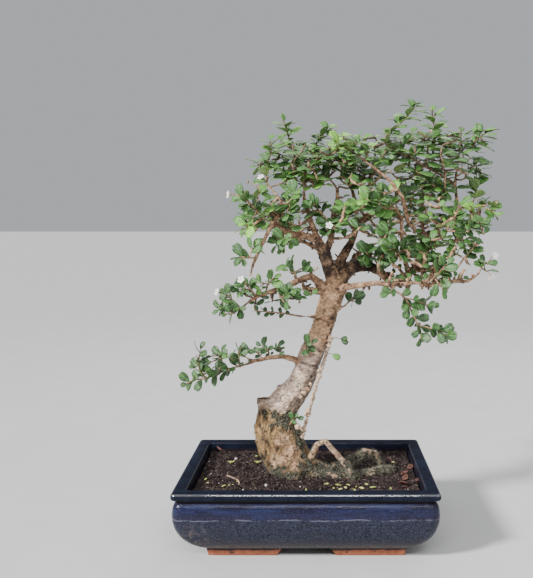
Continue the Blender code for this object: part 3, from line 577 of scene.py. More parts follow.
def scatter(name, prototype, places, tones=()):
    """Copies of a small piece, one for each matrix, as one new piece with the same finishes."""
    source = prototype.data
    count = len(source.vertices)
    corners = np.empty(count * 3)
    source.vertices.foreach_get("co", corners)
    corners = np.c_[corners.reshape(-1, 3), np.ones(count)]
    points = np.concatenate([corners @ np.array(matrix).T for matrix in places])[:, :3]
    faces = [tuple(face.vertices) for face in source.polygons]
    mesh = bpy.data.meshes.new(name)
    mesh.from_pydata(points.tolist(), [], [tuple(index + copy * count for index in face)
                                           for copy in range(len(places)) for face in faces])
    for field in ("material_index", "use_smooth"):
        mesh.polygons.foreach_set(field, [getattr(face, field) for face in source.polygons] * len(places))
    for finish in source.materials:
        mesh.materials.append(finish)
    if source.uv_layers:
        uvs = np.empty(len(source.loops) * 2)
        source.uv_layers[0].data.foreach_get("uv", uvs)
        mesh.uv_layers.new(name="blade").data.foreach_set("uv", np.tile(uvs, len(places)))
    if tones:
        tone = mesh.attributes.new(name="tone", type="FLOAT", domain="POINT")
        tone.data.foreach_set("value", np.repeat(tones, count))
    return placed(bpy.data.objects.new(name, mesh))


def join(piece, *others):
    """Make the others part of a piece."""
    take(piece)
    for other in others:
        other.select_set(True)
    bpy.ops.object.join()


def lump(name, roughness, detail, seed):
    """A small uneven grain about 1 mm across, as a start for crumbs, grit and chips."""
    start_fresh()
    bpy.ops.mesh.primitive_ico_sphere_add(subdivisions=detail, radius=0.5 * MM)
    made = bpy.context.object
    made.name = name
    for vertex in made.data.vertices:
        vertex.co *= 1 + roughness * noise.noise(vertex.co / MM * 1.7 + Vector((seed, 0, 0)))
    return made


def clear_of_wood(x, y):
    """Whether a spot on the soil is away from the trunk's foot and the surface roots."""
    foot_x, foot_y, half_x, half_y = TRUNK_FOOT
    by_foot = math.hypot((x - foot_x) / half_x, (y - foot_y) / half_y) <= 1
    return not by_foot and not (0 < x < ROOTS_REACH and abs(y - ROOTS_SLOPE * x + ROOTS_OFF) < ROOTS_HALF)


def any_turn(draw, tilt):
    """Turned any way on the ground, and tilted by up to this angle."""
    turn = Matrix.Rotation(draw.uniform(0, math.tau), 4, "Z")
    return turn @ Matrix.Rotation(draw.uniform(-tilt, tilt), 4, "X")


def loose(draw, low, high):
    """A grain's matrix on the soil: a free place, any turn, a size in millimetres."""
    while True:
        x = draw.uniform(-soil_half_x + 4, soil_half_x - 4)
        y = draw.uniform(-soil_half_y + 4, soil_half_y - 4)
        if clear_of_wood(x, y):
            break
    size = draw.uniform(low, high)
    turn = any_turn(draw, 0.5)
    shape = Matrix.Diagonal((size * draw.uniform(0.8, 1.5), size, size, 1))
    return Matrix.Translation(on_soil(x, y, 0.3 * size)) @ turn @ shape


earth, tree, shader = new_finish("potting_soil", Roughness=0.95, Specular_IOR_Level=0.25)
middle = centred(tree)
dirt = mask(middle, 210.0, 0.42, 0.60, 0.75)
dirt = mixed(dirt, (0.006, 0.0035, 0.0035), (0.090, 0.060, 0.054))
dirt = mixed(times(mask(middle, 70.0, 0.45, 0.60), 0.7), dirt, (0.022, 0.012, 0.012))
dirt = mixed(mask(middle, 430.0, 0.61, 0.67, 0.5), dirt, (0.300, 0.220, 0.185))
height = plus(mask(middle, 1500.0, 0.3, 0.7), mask(middle, 500.0, 0.3, 0.7))
feed(shader, Base_Color=dirt, Normal=bump(height, 0.0010, 1.0))

draw = random.Random(11)
crumb = lump("crumb", 0.55, 1, 2.0)
coat(crumb, earth)
crumb_bed = scatter("crumb_bed", crumb, [loose(draw, *CRUMB_SIZE) for _ in range(CRUMBS)])
discard(crumb)
coat(soil, earth)
join(soil, crumb_bed)
settle(soil, "soil_crumbly")
smooth(soil, 60)
belong(soil, "soil", "soil")

# Litter on the soil
# What fell or was mixed in and lies loose on top: white perlite grit, the tree's own shed leaflets in yellow
# green, dry rust-brown leaves, a bit of dead stem, and two tiny weeds.

PERLITE = (                 # (x, y, size) in millimetres, as in the dry leaves below
    (-94.6, 52.9, 3.8), (-47.6, -53.1, 3.2), (-129.0, 46.6, 2.0), (-7.7, -56.5, 1.6), (-111.4, -32.4, 1.7),
    (-78.9, 40.4, 1.5), (-29.2, -46.3, 1.6), (108.0, 62.0, 1.8), (-73.5, -63.2, 1.5), (118.0, -58.0, 1.6),
)
SHED_LEAFLETS = ((26.2, -42.9), (31.9, -56.5), (44.9, -53.1), (51.0, -46.3), (53.9, -59.9), (63.8, -49.7),
                 (68.9, -42.9), (75.3, -53.1), (80.9, -56.5), (-92.1, -42.9), (-86.6, -39.4), (-95.3, -46.3),
                 (0.5, -59.9), (-80.2, -32.4), (-120.8, -25.2), (-116.8, -35.9), (38.0, -49.0), (57.0, -52.0),
                 (48.0, -57.0), (98.0, -60.0), (112.0, 40.0), (-70.0, 62.0), (34.0, -47.0), (42.0, -60.0),
                 (61.0, -57.0))
DRY_LEAVES = ((-112.9, 86.0, 15), (122.0, -10.6, 13), (125.0, 8.5, 12), (121.9, -42.9, 15),
              (127.2, -30.3, 11), (109.0, 46.6, 9), (113.3, -3.1, 11), (119.9, -56.5, 10), (114.6, -28.8, 12))
WEEDS = ((-99.1, 36.2), (-64.6, 34.2))
DEAD_STEM = ((-98.0, -14.3), (-91.1, -21.6), (-82.6, -32.4), (-79.6, -46.3))
FINE_GRIT, FINE_GRIT_SIZE = 26, (0.5, 1.0)
SHED_LENGTH = (4.8, 7.2)
# Each weed leaf's turn, lean from upright and length.
WEED_LEAVES = ((0.3, 0.7, 5.5), (1.9, 0.5, 4.8), (3.3, 0.8, 5.2), (4.7, 0.6, 4.4), (5.6, 1.2, 4.0))

grit = mottled("perlite", (900.0, 0.4, 0.7), (0.62, 0.61, 0.58), (0.86, 0.86, 0.84), (2200.0, 0.0003, 0.8),
               Roughness=0.8)
litter_finish = mottled("dry_leaf", (70.0, 0.4, 0.6), (0.052, 0.016, 0.012), (0.118, 0.043, 0.027),
                        (700.0, 0.0004, 0.6), ((420.0, 0.52, 0.66), (0.050, 0.020, 0.014)), Roughness=0.7)
shed_finish = mottled("shed_leaflet", (160.0, 0.4, 0.6), (0.36, 0.42, 0.08), (0.62, 0.62, 0.22),
                      (900.0, 0.0002, 0.4), Roughness=0.5)
dead_wood = mottled("dead_wood", (300.0, 0.35, 0.62), (0.110, 0.062, 0.040), (0.420, 0.290, 0.190),
                    (900.0, 0.0003, 0.6), Roughness=0.85)


def strewn(name, prototype, places, slot, *nodes):
    """Copies of a small piece, as one piece that rides with the tree."""
    heap = settle(scatter(name, prototype, places), name)
    belong(heap, slot, *nodes)
    return heap


def soften(piece):
    """Shade every face of a piece smooth."""
    for face in piece.data.polygons:
        face.use_smooth = True


draw = random.Random(5)
grain_of_grit = lump("grit", 0.35, 2, 5.0)
smooth(grain_of_grit, 60)
coat(grain_of_grit, grit)
grains = [Matrix.Translation(on_soil(x, y, 0.45 * size)) @ Matrix.Diagonal((size, size * 0.9, size * 0.85, 1))
          for x, y, size in PERLITE]
grains += [loose(draw, *FINE_GRIT_SIZE) for _ in range(FINE_GRIT)]
strewn("perlite_grit", grain_of_grit, grains, "soil")
discard(grain_of_grit)


def thin_blade(name, size, outline, form, thick, grid, finishes, top=0, teeth=0.0):
    """A leaf along +X from the origin: a grid drawn to its outline, arched, folded and given thickness."""
    (length, width), (arch, fold, curl), (rows, columns) = size, form, grid
    start_fresh()
    bpy.ops.mesh.primitive_grid_add(x_subdivisions=rows, y_subdivisions=columns, size=2)
    blade = bpy.context.object
    blade.name = name
    for vertex in blade.data.vertices:
        along, across = (vertex.co.x + 1) / 2, vertex.co.y
        station = along * (len(outline) - 1)
        near = min(int(station), len(outline) - 2)
        share = station - near
        x = length * (outline[near][0] * (1 - share) + outline[near + 1][0] * share)
        y = width / 2 * across * (outline[near][1] * (1 - share) + outline[near + 1][1] * share)
        if along > 0.99:
            x += teeth * (0.5 - abs(across) * 2 % 2)
        vertex.co = (x, y, -arch * x * x / length + fold * abs(y) - curl * y * y / width)
    coat(blade, *finishes)
    for face in blade.data.polygons:
        face.material_index = top
    apply_modifier(blade, "SOLIDIFY", thickness=thick, offset=0.0, material_offset=1, use_even_offset=False)
    soften(blade)
    return blade


LEAFLET_OUTLINE = ((0, 0.15), (0.25, 0.8), (0.6, 1.0), (0.85, 0.75), (1.0, 0.3))
DRY_OUTLINE = ((0, 0.05), (0.15, 0.45), (0.4, 1.0), (0.65, 0.85), (0.88, 0.35), (1.0, 0.04))
leaflet = thin_blade("leaflet", (1 * MM, 0.42 * MM), LEAFLET_OUTLINE, (0.1, 0.3, 0.2), 0.12 * MM, (4, 2),
                     [shed_finish])
dry_leaf = thin_blade("dry_leaf", (1 * MM, 0.66 * MM), DRY_OUTLINE, (-0.25, 0.50, 0.7), 0.045 * MM, (10, 6),
                      [litter_finish])
for vertex in dry_leaf.data.vertices:
    crease = noise.noise(Vector((vertex.co.x, vertex.co.y, 0)) / MM * 3.1 + Vector((4, 0, 0)))
    vertex.co.z += 0.22 * MM * crease
    vertex.co.y *= 1 + 0.5 * crease


def fallen(draw, x, y, size, lift=0.8):
    """A fallen blade's matrix: on the soil with any turn and a slight tilt."""
    pose = any_turn(draw, 0.35) @ Matrix.Scale(size, 4)
    return Matrix.Translation(on_soil(x, y, lift)) @ pose


shed = [fallen(draw, x, y, draw.uniform(*SHED_LENGTH)) for x, y in SHED_LEAFLETS]
strewn("shed_leaflets", leaflet, shed, "leaf")
strewn("dry_leaves", dry_leaf, [fallen(draw, x, y, size, 1.2) for x, y, size in DRY_LEAVES], "leaf")


def smooth_route(points, steps):
    """The same route with rounded bends: points between the given ones on a Catmull-Rom curve."""
    ends = [points[0] * 2 - points[1], *points, points[-1] * 2 - points[-2]]
    route = []
    for before, start, end, after in zip(ends, ends[1:], ends[2:], ends[3:]):
        for step in range(steps):
            t = step / steps
            linear = (end - before) * t
            square = (2 * before - 5 * start + 4 * end - after) * t ** 2
            cube = (3 * start - before - 3 * end + after) * t ** 3
            route.append(0.5 * (2 * start + linear + square + cube))
    return route + [points[-1]]


def shoots(name, routes):
    """Woody stems along several routes of (point, radius in millimetres), as one mesh."""
    start_fresh()
    curve = bpy.data.curves.new(name, "CURVE")
    curve.dimensions = "3D"
    curve.bevel_depth = MM
    curve.bevel_resolution = 1
    curve.use_fill_caps = True
    for stations in routes:
        spline = curve.splines.new("POLY")
        spline.points.add(len(stations) - 1)
        for spline_point, (point, radius) in zip(spline.points, stations):
            spline_point.co = (*point, 1)
            spline_point.radius = radius
    take(placed(bpy.data.objects.new(name, curve)))
    bpy.ops.object.convert(target="MESH")
    made = bpy.context.object
    edit_all()
    bpy.ops.mesh.remove_doubles(threshold=0.01 * MM)
    faces_out()
    soften(made)
    return made


lying = [at(x, y, soil_height(x, y) + 1.6) for x, y in DEAD_STEM]
dead_stem = shoots("dead_stem", [[(point, 0.9) for point in smooth_route(lying, 4)]])
coat(dead_stem, dead_wood)
settle(dead_stem, "dead_stem")
belong(dead_stem, "bark")

weed_leaves = [Matrix.Translation(at(x, y, soil_height(x, y) + 0.4))
               @ Matrix.Rotation(turn, 4, "Z") @ Matrix.Rotation(-lean, 4, "Y") @ Matrix.Scale(size, 4)
               for x, y in WEEDS for turn, lean, size in WEED_LEAVES]
strewn("weed_seedlings", leaflet, weed_leaves, "leaf")
discard(leaflet, dry_leaf)

# Trunk, limbs and surface roots
# One piece of living wood: a bole that leans and curves, roots running over the soil, an aerial root, a sawn
# stub and the limbs. The bark is pale and ringed above, ochre and mossy below, and red-brown on the limbs.

TRUNK_LINE = (              # (x, y, z, radius) in millimetres, as the wood was laid out
    (-8, 0, 48, 25), (-15, 0, 72, 26.5), (-24, 0, 84, 28), (-31, 0, 100, 29), (-35, 0, 116, 29),
    (-38, 0, 129, 26.5), (-36, 0, 143, 23.5), (-28, 0, 157, 20), (-18, 1, 169, 17.5), (-9, 2, 181, 16),
    (-3, 3, 195, 15), (2, 4, 211, 15), (9, 5, 227, 14.3), (16, 6, 241, 13.8), (21, 6, 256, 13.3),
    (25, 7, 272, 13.6), (30, 8, 287, 14.2), (35, 9, 301, 14.5), (39, 11, 314, 11),
)
RING_SCARS = (206.0, 225.0, 258.0)
BLACK_MOSS = (              # (x, y, z, radius) of each spot, as in the three lists that follow
    (-54, -20, 150, 5), (-38, -24, 151, 6), (-24, -22, 152, 6), (-12, -16, 146, 8), (-37, -23, 147, 8),
    (-28, -22, 144, 9), (-21, -20, 134, 8), (-31, -25, 137, 7), (-9, -15, 119, 11), (-5, -14, 108, 11),
    (-13, -17, 127, 8), (-33, -27, 80, 7), (-7, -26, 84, 7), (3, -25, 80, 13), (-44, -24, 79, 7),
    (16, -18, 76, 12), (34, -14, 73, 15), (58, -12, 72, 15), (84, -8, 74, 12), (44, 4, 78, 12),
    (70, 12, 84, 10), (-24, 22, 128, 16), (-40, 16, 104, 9), (2, 20, 96, 16), (-18, 26, 80, 16),
    (-54, 2, 76, 9), (4, 14, 150, 9), (30, -4, 92, 8), (-22, -29, 74, 9), (-31, -28, 70, 8),
    (-12, -28, 73, 9), (-2, -20, 98, 8), (-42, -22, 134, 5),
)
# Dark pits, blotches and the sawn stub's top, with painted shade in the fork between the limbs and down the
# trunk's side away from the light.
PITS_AND_PAINTED_SHADE = ((-6, -13, 158, 6), (0, -12, 169, 5), (3, -11, 178, 5), (-10, -14, 150, 6), (7, -9, 190, 4),
          (-54, -3, 168, 9), (-34, -6, 180, 4), (44, 10, 306, 15), (44, 16, 318, 20), (60, 27, 325, 20),
          (30, 4, 328, 13), (74, 24, 322, 16), (26, -4, 322, 13), (22, -6, 340, 13), (52, 24, 345, 12),
          (36, 2, 332, 14), (80, 30, 324, 12), (14, -10, 352, 8), (104, 20, 306, 8), (29, -3, 248, 4),
          (31, -5, 262, 5), (27, -4, 238, 4), (33, -2, 275, 5), (21, 0, 226, 4), (-53, -14, 148, 6),
          (-50, -18, 118, 6), (-47, -20, 110, 6), (-52, -15, 95, 7), (-45, -21, 87, 6))
PEELED = ((-29, -27, 118, 10), (-18, -24, 102, 14), (-31, -28, 92, 12), (-40, -26, 88, 8), (-14, -27, 88, 9),
          (-7, -13, 186, 13), (-22, -12, 172, 12), (6, -20, 98, 7), (14, -20, 100, 7), (30, 24, 92, 12))
HOLES = ((21, -6, 272, 1.7), (20, -6, 268, 1.3), (26, -6, 254, 1.8), (25, -6, 239, 1.9),
         (-9, -10, 203, 1.5), (-6, -11, 200, 1.2), (-5, -11, 170, 1.6), (-51, -16, 147, 1.9),
         (-50, -18, 142, 1.7), (-49, -23, 127, 1.6), (-49, -24, 115, 2.2), (-24, -26, 98, 1.6),
         (-44, -24, 103, 1.3), (-40, -26, 131, 1.3), (15, -8, 246, 1.1), (8, -9, 226, 1.2),
         (-58, -8, 134, 1.3), (-56, -12, 122, 1.2), (-14, 17, 190, 1.6), (20, 20, 250, 1.8))
LUMPS = (                   # (x, y, z, radius, height); a height below zero is a dent
    (-56, -3, 157, 9, 4.0), (-52, -8, 160, 7, 2.5), (-34, -4, 177, 4, 4.2), (4, -8, 267, 4, 2.0),
    (-31, -28, 91, 12, 3.2), (-18, -24, 103, 12, 2.0), (-27, -27, 106, 6, -1.6), (-42, -23, 104, 6, -2.0),
    (-46, -22, 124, 10, 1.4), (-30, -24, 127, 6, -1.5), (-27, -22, 145, 7, 1.6), (-14, -16, 138, 6, -2.2),
    (-1, -12, 160, 5, 1.4), (-18, -14, 160, 5, -1.2), (30, -4, 236, 4, 1.6), (25, -4, 213, 4, 1.2),
    (-48, 12, 120, 9, 2.2), (-30, 24, 100, 10, 2.4), (-10, 18, 150, 6, -2.0), (10, 16, 205, 5, 1.6),
    (38, -3, 300, 6, 1.6), (25, -3, 305, 5, 1.4), (50, 10, 300, 6, 1.8),
)
STUB_TOP = (-55, -3, 163.5, 13)
LOWER_LIMB = ((47, -14, 301), (63, -24, 304), (81, -30, 307), (98, -32, 305), (113, -34, 306),
              (129, -36, 308))
AERIAL_ROOT = ((29, -6, 239), (24, -12, 222), (18, -14, 205), (14, -16, 191), (9, -18, 176), (5, -18, 160),
               (0, -18, 142), (-5, -19, 124), (-14, -18, 108))

WOOD_VOXEL = 1.17           # millimetres between the bark's points
ROOT_HANGS_BEFORE = -8      # the aerial root lies in front of this y
LOW_BOLE_TOP, LOW_BOLE_FADE = 158, 16
ROOTS_LIE_BELOW, ROOTS_LIE_BEYOND = 92, -2      # heights, and the x that the surface roots start at
LIMBS_ABOVE = 200

start_fresh()
trunk = placed(bpy.data.objects.new("trunk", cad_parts["trunk"].data.copy()))
take(trunk)
edit_all()
bpy.ops.mesh.remove_doubles(threshold=0.01 * MM)
bpy.ops.object.mode_set(mode="OBJECT")
apply_modifier(trunk, "REMESH", mode="VOXEL", voxel_size=WOOD_VOXEL * MM)
edit_all()
bpy.ops.mesh.vertices_smooth(factor=0.5, repeat=3)
bpy.ops.object.mode_set(mode="OBJECT")


def vertex_array(mesh, field):
    """The vertices' places or normals, the places in millimetres from the pot's middle."""
    numbers = np.empty(len(mesh.vertices) * 3)
    mesh.vertices.foreach_get(field, numbers)
    numbers = numbers.reshape(-1, 3)
    return (numbers - np.array(pot_middle)) / MM if field == "co" else numbers


def rough(points, size, offset=0.0):
    """Noise at each point, with lumps of about this size in millimetres."""
    return np.array([noise.noise(Vector(point) / size + Vector((offset, 0, 0))) for point in points])


def bell(distance, width):
    """1 at no distance, falling away like a bell over this width."""
    return np.exp(-(distance / width) ** 2)


def near_spots(points, spots):
    """1 in the middle of any of the (x, y, z, radius) spots, falling away round it."""
    found = np.zeros(len(points))
    for x, y, z, radius in spots:
        found = np.maximum(found, bell(np.linalg.norm(points - (x, y, z), axis=1), radius))
    return found


def near_route(points, route):
    """Each point's distance in millimetres from a route of straight runs."""
    route = np.array(route, float)
    found = np.full(len(points), np.inf)
    for start, end in zip(route, route[1:]):
        share = np.clip((points - start) @ (end - start) / ((end - start) @ (end - start)), 0, 1)
        found = np.minimum(found, np.linalg.norm(points - start - share[:, None] * (end - start), axis=1))
    return found


stations = np.array(TRUNK_LINE, float)
lengths = np.linalg.norm(np.diff(stations[:, :3], axis=0), axis=1)
marks = np.r_[0, np.cumsum(lengths)]
wood_points = vertex_array(trunk.data, "co")
wood_normals = vertex_array(trunk.data, "normal")
nearest = np.full(len(wood_points), np.inf)
along = np.zeros(len(wood_points))
for start, end, length, mark in zip(stations, stations[1:], lengths, marks):
    share = np.clip((wood_points - start[:3]) @ (end[:3] - start[:3]) / length ** 2, 0, 1)
    middles = start[:3] + share[:, None] * (end[:3] - start[:3])
    girth = np.linalg.norm(wood_points - middles, axis=1) / (start[3] + share * (end[3] - start[3]))
    closer = girth < nearest
    nearest[closer] = girth[closer]
    along[closer] = mark + share[closer] * length

# How far the bark stands out at each point, in millimetres: slow swellings, ridges low on the bole and fine
# rings above, ring scars, lumps and holes, the lower limb drawn slimmer, and the aerial root's swellings.
bole = np.clip((1.35 - nearest) / 0.2, 0, 1)
low_bole = bole * np.clip((LOW_BOLE_TOP - wood_points[:, 2]) / LOW_BOLE_FADE, 0, 1)
swell = 0.8 * rough(wood_points, 24) + 0.6 * rough(wood_points, 9, 4) + 0.35 * rough(wood_points, 4, 8)
swell = bole * swell
swell += low_bole * (0.9 * np.abs(rough(wood_points, 12, 11)) + 0.5 * rough(wood_points, 5, 13) - 0.3)
swell += (1 - bole) * (0.15 + 0.45 * rough(wood_points, 7, 2) + 0.35 * rough(wood_points, 3.5, 6))
upper_bole = bole - low_bole
ridges = rough(wood_points * (1, 1, 0.35), 5, 19)
rings = rough(wood_points * (0.3, 0.3, 1), 3.2, 23)
worn_smooth = np.clip(near_spots(wood_points, PEELED) * 1.8 - 0.2, 0, 1)
ridges = ridges * (1 - worn_smooth)
swell += 0.9 * low_bole * ridges + 0.3 * upper_bole * rings
drift = 1.5 * rough(wood_points, 14, 3)
scars = [along - np.interp(height, stations[:, 2], marks) + drift for height in RING_SCARS]
for from_scar in scars:
    swell += bole * (0.45 * bell(from_scar - 2.6, 1.8) - 0.75 * bell(from_scar, 1.2))
for x, y, z, radius, height in LUMPS:
    swell += height * bell(np.linalg.norm(wood_points - (x, y, z), axis=1), radius)
swell -= 1.6 * near_spots(wood_points, HOLES)
swell -= 1.3 * (1 - bole) * bell(near_route(wood_points, LOWER_LIMB), 7.0)
off_root = near_route(wood_points, AERIAL_ROOT)
root_side = wood_points[:, 1] < ROOT_HANGS_BEFORE
swell += bell(off_root, 3.2) * (0.55 + 0.9 * np.maximum(rough(wood_points, 5, 17), 0)) * root_side

# The bark's new places, with the old stub sawn off flat.
wood_skin = wood_points + wood_normals * swell[:, None]
x, y, top, radius = STUB_TOP
sawn = (np.hypot(wood_skin[:, 0] - x, wood_skin[:, 1] - y) < radius) & (wood_skin[:, 2] > top)
wood_skin[sawn, 2] = top + 0.7 * rough(wood_points[sawn], 3)
trunk.data.vertices.foreach_set("co", (wood_skin * MM + np.array(pot_middle)).ravel())
trunk.data.update()

# Where the bark is mossy, where it is dark bark and painted shade, and where it is peeled, each from 0 to 1
# at every point.
speck = rough(wood_points, 2.6, 21)
streak = rough(wood_points * (1, 1, 0.4), 2.4, 37)
moss = near_spots(wood_points, BLACK_MOSS) * 1.5 + 0.9 * rough(wood_points, 6, 9) + 0.4 * speck - 0.38
moss = np.clip(moss, 0, 1)
lying = (1 - bole) * (wood_points[:, 2] < ROOTS_LIE_BELOW) * (wood_points[:, 0] > ROOTS_LIE_BEYOND)
moss = np.maximum(moss, lying * np.clip(0.74 + 0.9 * rough(wood_points, 9, 33) + 0.4 * speck, 0, 1))
moss = np.maximum(moss, low_bole * np.clip(0.9 * rough(wood_points, 8, 31) + 1.1 * streak - 0.32, 0, 0.8))
shade = near_spots(wood_points, PITS_AND_PAINTED_SHADE) * 1.7 + 0.6 * rough(wood_points, 7, 5) + 0.4 * speck - 0.45
shade = np.clip(shade, 0, 1)
shade = np.maximum(shade, near_spots(wood_points, HOLES) * 1.3)
shade = np.maximum(shade, low_bole * np.clip(-2.4 * ridges - 0.17 + 0.9 * streak, 0, 0.88))
shade = np.maximum(shade, upper_bole * np.clip(-1.2 * rings - 0.45 + 0.5 * speck, 0, 0.4))
blotches = 1.3 * rough(wood_points, 5, 41) + 0.7 * speck - 0.25
limbs = (1 - bole) * (wood_points[:, 2] > LIMBS_ABOVE)
shade = np.maximum(shade, limbs * np.clip(blotches, 0, 0.75))
# Painted shade down the upper bole's side away from the light, along with the black patches that grow there.
shadow_side_shade = wood_normals[:, 0] - 0.35 + 0.9 * rough(wood_points, 9, 27) + 0.6 * speck
shade = np.maximum(shade, upper_bole * np.clip(1.2 * shadow_side_shade, 0, 0.66))
for from_scar in scars:
    shade = np.maximum(shade, bole * 0.8 * bell(from_scar, 1.3))
peel = np.clip(near_spots(wood_points, PEELED) * 2.2 + 0.6 * rough(wood_points, 8, 1) - 0.70, 0, 1)
peel = np.maximum(peel, 0.8 * bell(off_root, 3.0) * root_side)
zones = trunk.data.color_attributes.new(name="zones", type="FLOAT_COLOR", domain="POINT")
zones.data.foreach_set("color", np.c_[moss, np.clip(shade, 0, 1), peel, bole].astype(np.float32).ravel())

bark, tree, shader = new_finish("bark", Roughness=0.85, Specular_IOR_Level=0.3)
middle = centred(tree)
# In the zones' colour, red is moss, green is dark bark and painted shade, blue is peeled bark, and alpha is
# the bole.
zone = node(tree, "Attribute", attribute_name="zones")
parts = node(tree, "SeparateColor", {"Color": zone.outputs["Color"]}).outputs
height = axis(middle, "Z")
height = plus(height, times(mask(middle, 90.0, 0.2, 0.8), 0.012))
height = minus(height, times(mask(middle, 22.0, 0.3, 0.7), 0.010))
flat = centred(tree, (1, 1, 2.0))
wrinkle = mask(flat, 240.0, 0.30, 0.70, 0.75)
fleck = mask(middle, 330.0, 0.575, 0.645, 0.65)
crack = node(tree, "TexNoise", {"Vector": flat, "Scale": 120.0, "Detail": 4.0, "Roughness": 0.7})
crack = maths("ABSOLUTE", minus(crack.outputs["Fac"], 0.5))
crack = times(band(crack, 0.034, 0.006), 0.75)
fibre = mask(centred(tree, (1, 1, 0.30)), 330.0, 0.34, 0.66, 0.8)
ochre = mixed(fibre, (0.110, 0.056, 0.018), (0.540, 0.345, 0.150))
pale = mixed(wrinkle, (0.430, 0.265, 0.182), (0.990, 0.790, 0.655))
tan = mixed(wrinkle, (0.320, 0.165, 0.080), (0.980, 0.640, 0.390))
stem = mixed(band(height, 0.1460, 0.1560), ochre, pale)
stem = mixed(band(height, 0.205, 0.250), stem, tan)
stem = mixed(times(mask(middle, 70.0, 0.47, 0.62, 0.7), 0.42), stem, (0.230, 0.120, 0.062))
limb_bark = mixed(mask(middle, 150.0, 0.35, 0.65, 0.75), (0.190, 0.095, 0.052), (0.560, 0.350, 0.215))
root_bark = mixed(wrinkle, (0.240, 0.150, 0.095), (0.700, 0.480, 0.320))
limb_bark = mixed(band(height, 0.150, 0.120), limb_bark, root_bark)
wood = mixed(zone.outputs["Alpha"], limb_bark, stem)
bare = mixed(wrinkle, (0.360, 0.190, 0.100), (0.800, 0.530, 0.330))
cream = mixed(wrinkle, (0.440, 0.300, 0.200), (0.920, 0.760, 0.600))
wood = mixed(parts["Blue"], wood, mixed(band(height, 0.115, 0.150), bare, cream))
wood = mixed(times(crack, band(height, 0.240, 0.140)), wood, (0.100, 0.060, 0.036))
wood = mixed(times(fleck, 0.8), wood, (0.050, 0.030, 0.022))
# Dark bark and painted shade, by the zones' green.
wood = mixed(times(parts["Green"], 0.94), wood, (0.018, 0.012, 0.010))
green_grey = mixed(mask(middle, 480.0, 0.46, 0.62), (0.006, 0.006, 0.004), (0.112, 0.106, 0.070))
green_grey = mixed(mask(middle, 560.0, 0.59, 0.64), green_grey, (0.480, 0.400, 0.280))
broken = times(mask(middle, 620.0, 0.3, 0.7), 0.9)
broken = plus(mask(middle, 230.0, 0.30, 0.66), broken)
mossy = plus(times(parts["Red"], 0.9), times(broken, 0.60))
mossy = times(band(mossy, 0.95, 1.15), band(parts["Red"], 0.02, 0.25))
wood = mixed(mossy, wood, green_grey)
relief = bump(minus(wrinkle, crack), 0.0010, 0.8)
relief = bump(times(fleck, -1.0), 0.0007, 0.7, relief)
pile = times(mossy, mask(middle, 900.0, 0.3, 0.7))
feed(shader, Base_Color=wood, Normal=bump(pile, 0.0010, 0.8, relief))
coat(trunk, bark)
settle(trunk, "trunk_bark")
smooth(trunk, 80)
belong(trunk, "bark", "trunk")

# Buds and galls
# Cream and brown lumps of old bud wood that sit on the aerial root and the trunk's inner side, some in
# clusters.

BUD_PLACES = (              # (x, y, z, size) in millimetres
    (-4, -13, 172, 5.2), (0, -12, 177, 4.2), (-8, -13, 168, 3.8), (4, -12, 183, 3.4), (1, -20, 152, 6.0),
    (-1, -19, 148, 4.4), (-11, -17, 131, 5.6), (-5, -19, 130, 5.2), (14, -17, 200, 3.6), (11, -18, 184, 3.4),
    (27, -10, 236, 4.4), (28, -8, 240, 3.6), (21, -14, 214, 3.0), (7, -19, 168, 3.2), (-13, -16, 132, 3.6),
)
ROOT_BUDS, ROOT_BUD_SIZE = 3, (2.2, 4.2)        # along each run of the aerial root

bud_finish = mottled("bud_wood", (260.0, 0.36, 0.56), (0.230, 0.130, 0.070), (0.740, 0.530, 0.350),
                     (900.0, 0.0005, 0.8), ((520.0, 0.58, 0.66), (0.040, 0.024, 0.018)), Roughness=0.8)


def jitter(draw, reach):
    """A small random shift, up to this far along each axis."""
    return Vector([draw.uniform(-reach, reach) for _ in range(3)])


draw = random.Random(41)
gall = lump("gall", 0.9, 2, 9.0)
smooth(gall, 70)
coat(gall, bud_finish)
galls = [Matrix.Translation(at(*place)) @ Matrix.Rotation(draw.uniform(0, 3), 4, "Y")
         @ Matrix.Diagonal((size * draw.uniform(0.9, 1.4), size * 0.85, size, 1))
         for *place, size in BUD_PLACES]
for start, end in zip(AERIAL_ROOT, AERIAL_ROOT[1:]):
    for _ in range(ROOT_BUDS):
        place = Vector(start).lerp(Vector(end), draw.random()) + jitter(draw, 1.2)
        size = draw.uniform(*ROOT_BUD_SIZE)
        galls.append(Matrix.Translation(at(*place)) @ Matrix.Rotation(draw.uniform(0, 3), 4, "Y")
                     @ Matrix.Diagonal((size * 1.3, size, size, 1)))
strewn("bud_wood", gall, galls, "bark")
discard(gall)

# Moss and root hairs
# Fine grey-green threads of moss and rootlets that cling to the trunk's foot and lie over the surface roots.

HAIRS, HAIR_RADIUS, HAIR_LENGTH = 4200, 0.11, (2.5, 8.0)
HAIRS_ABOVE, HAIRS_BELOW, HAIRS_MOSS = 68, 150, 0.3     # heights, and how mossy the bark is where they grow

start_fresh()
bpy.ops.mesh.primitive_circle_add(vertices=3, radius=HAIR_RADIUS * MM, fill_type="NGON")
hair = bpy.context.object
edit_all()
for rise, shift, share in ((0.5, 0.05, 0.8), (0.5, 0.22, 0.15)):
    extrude(x=shift, z=rise)
    bpy.ops.transform.resize(value=(share, share, 1), center_override=(shift * MM, 0, 0))
faces_out()
coat(hair, mottled("moss", (120.0, 0.4, 0.62), (0.055, 0.062, 0.042), (0.210, 0.220, 0.165),
                   (2600.0, 0.0001, 0.4), ((700.0, 0.5, 0.62), (0.36, 0.33, 0.25)), Roughness=0.9))

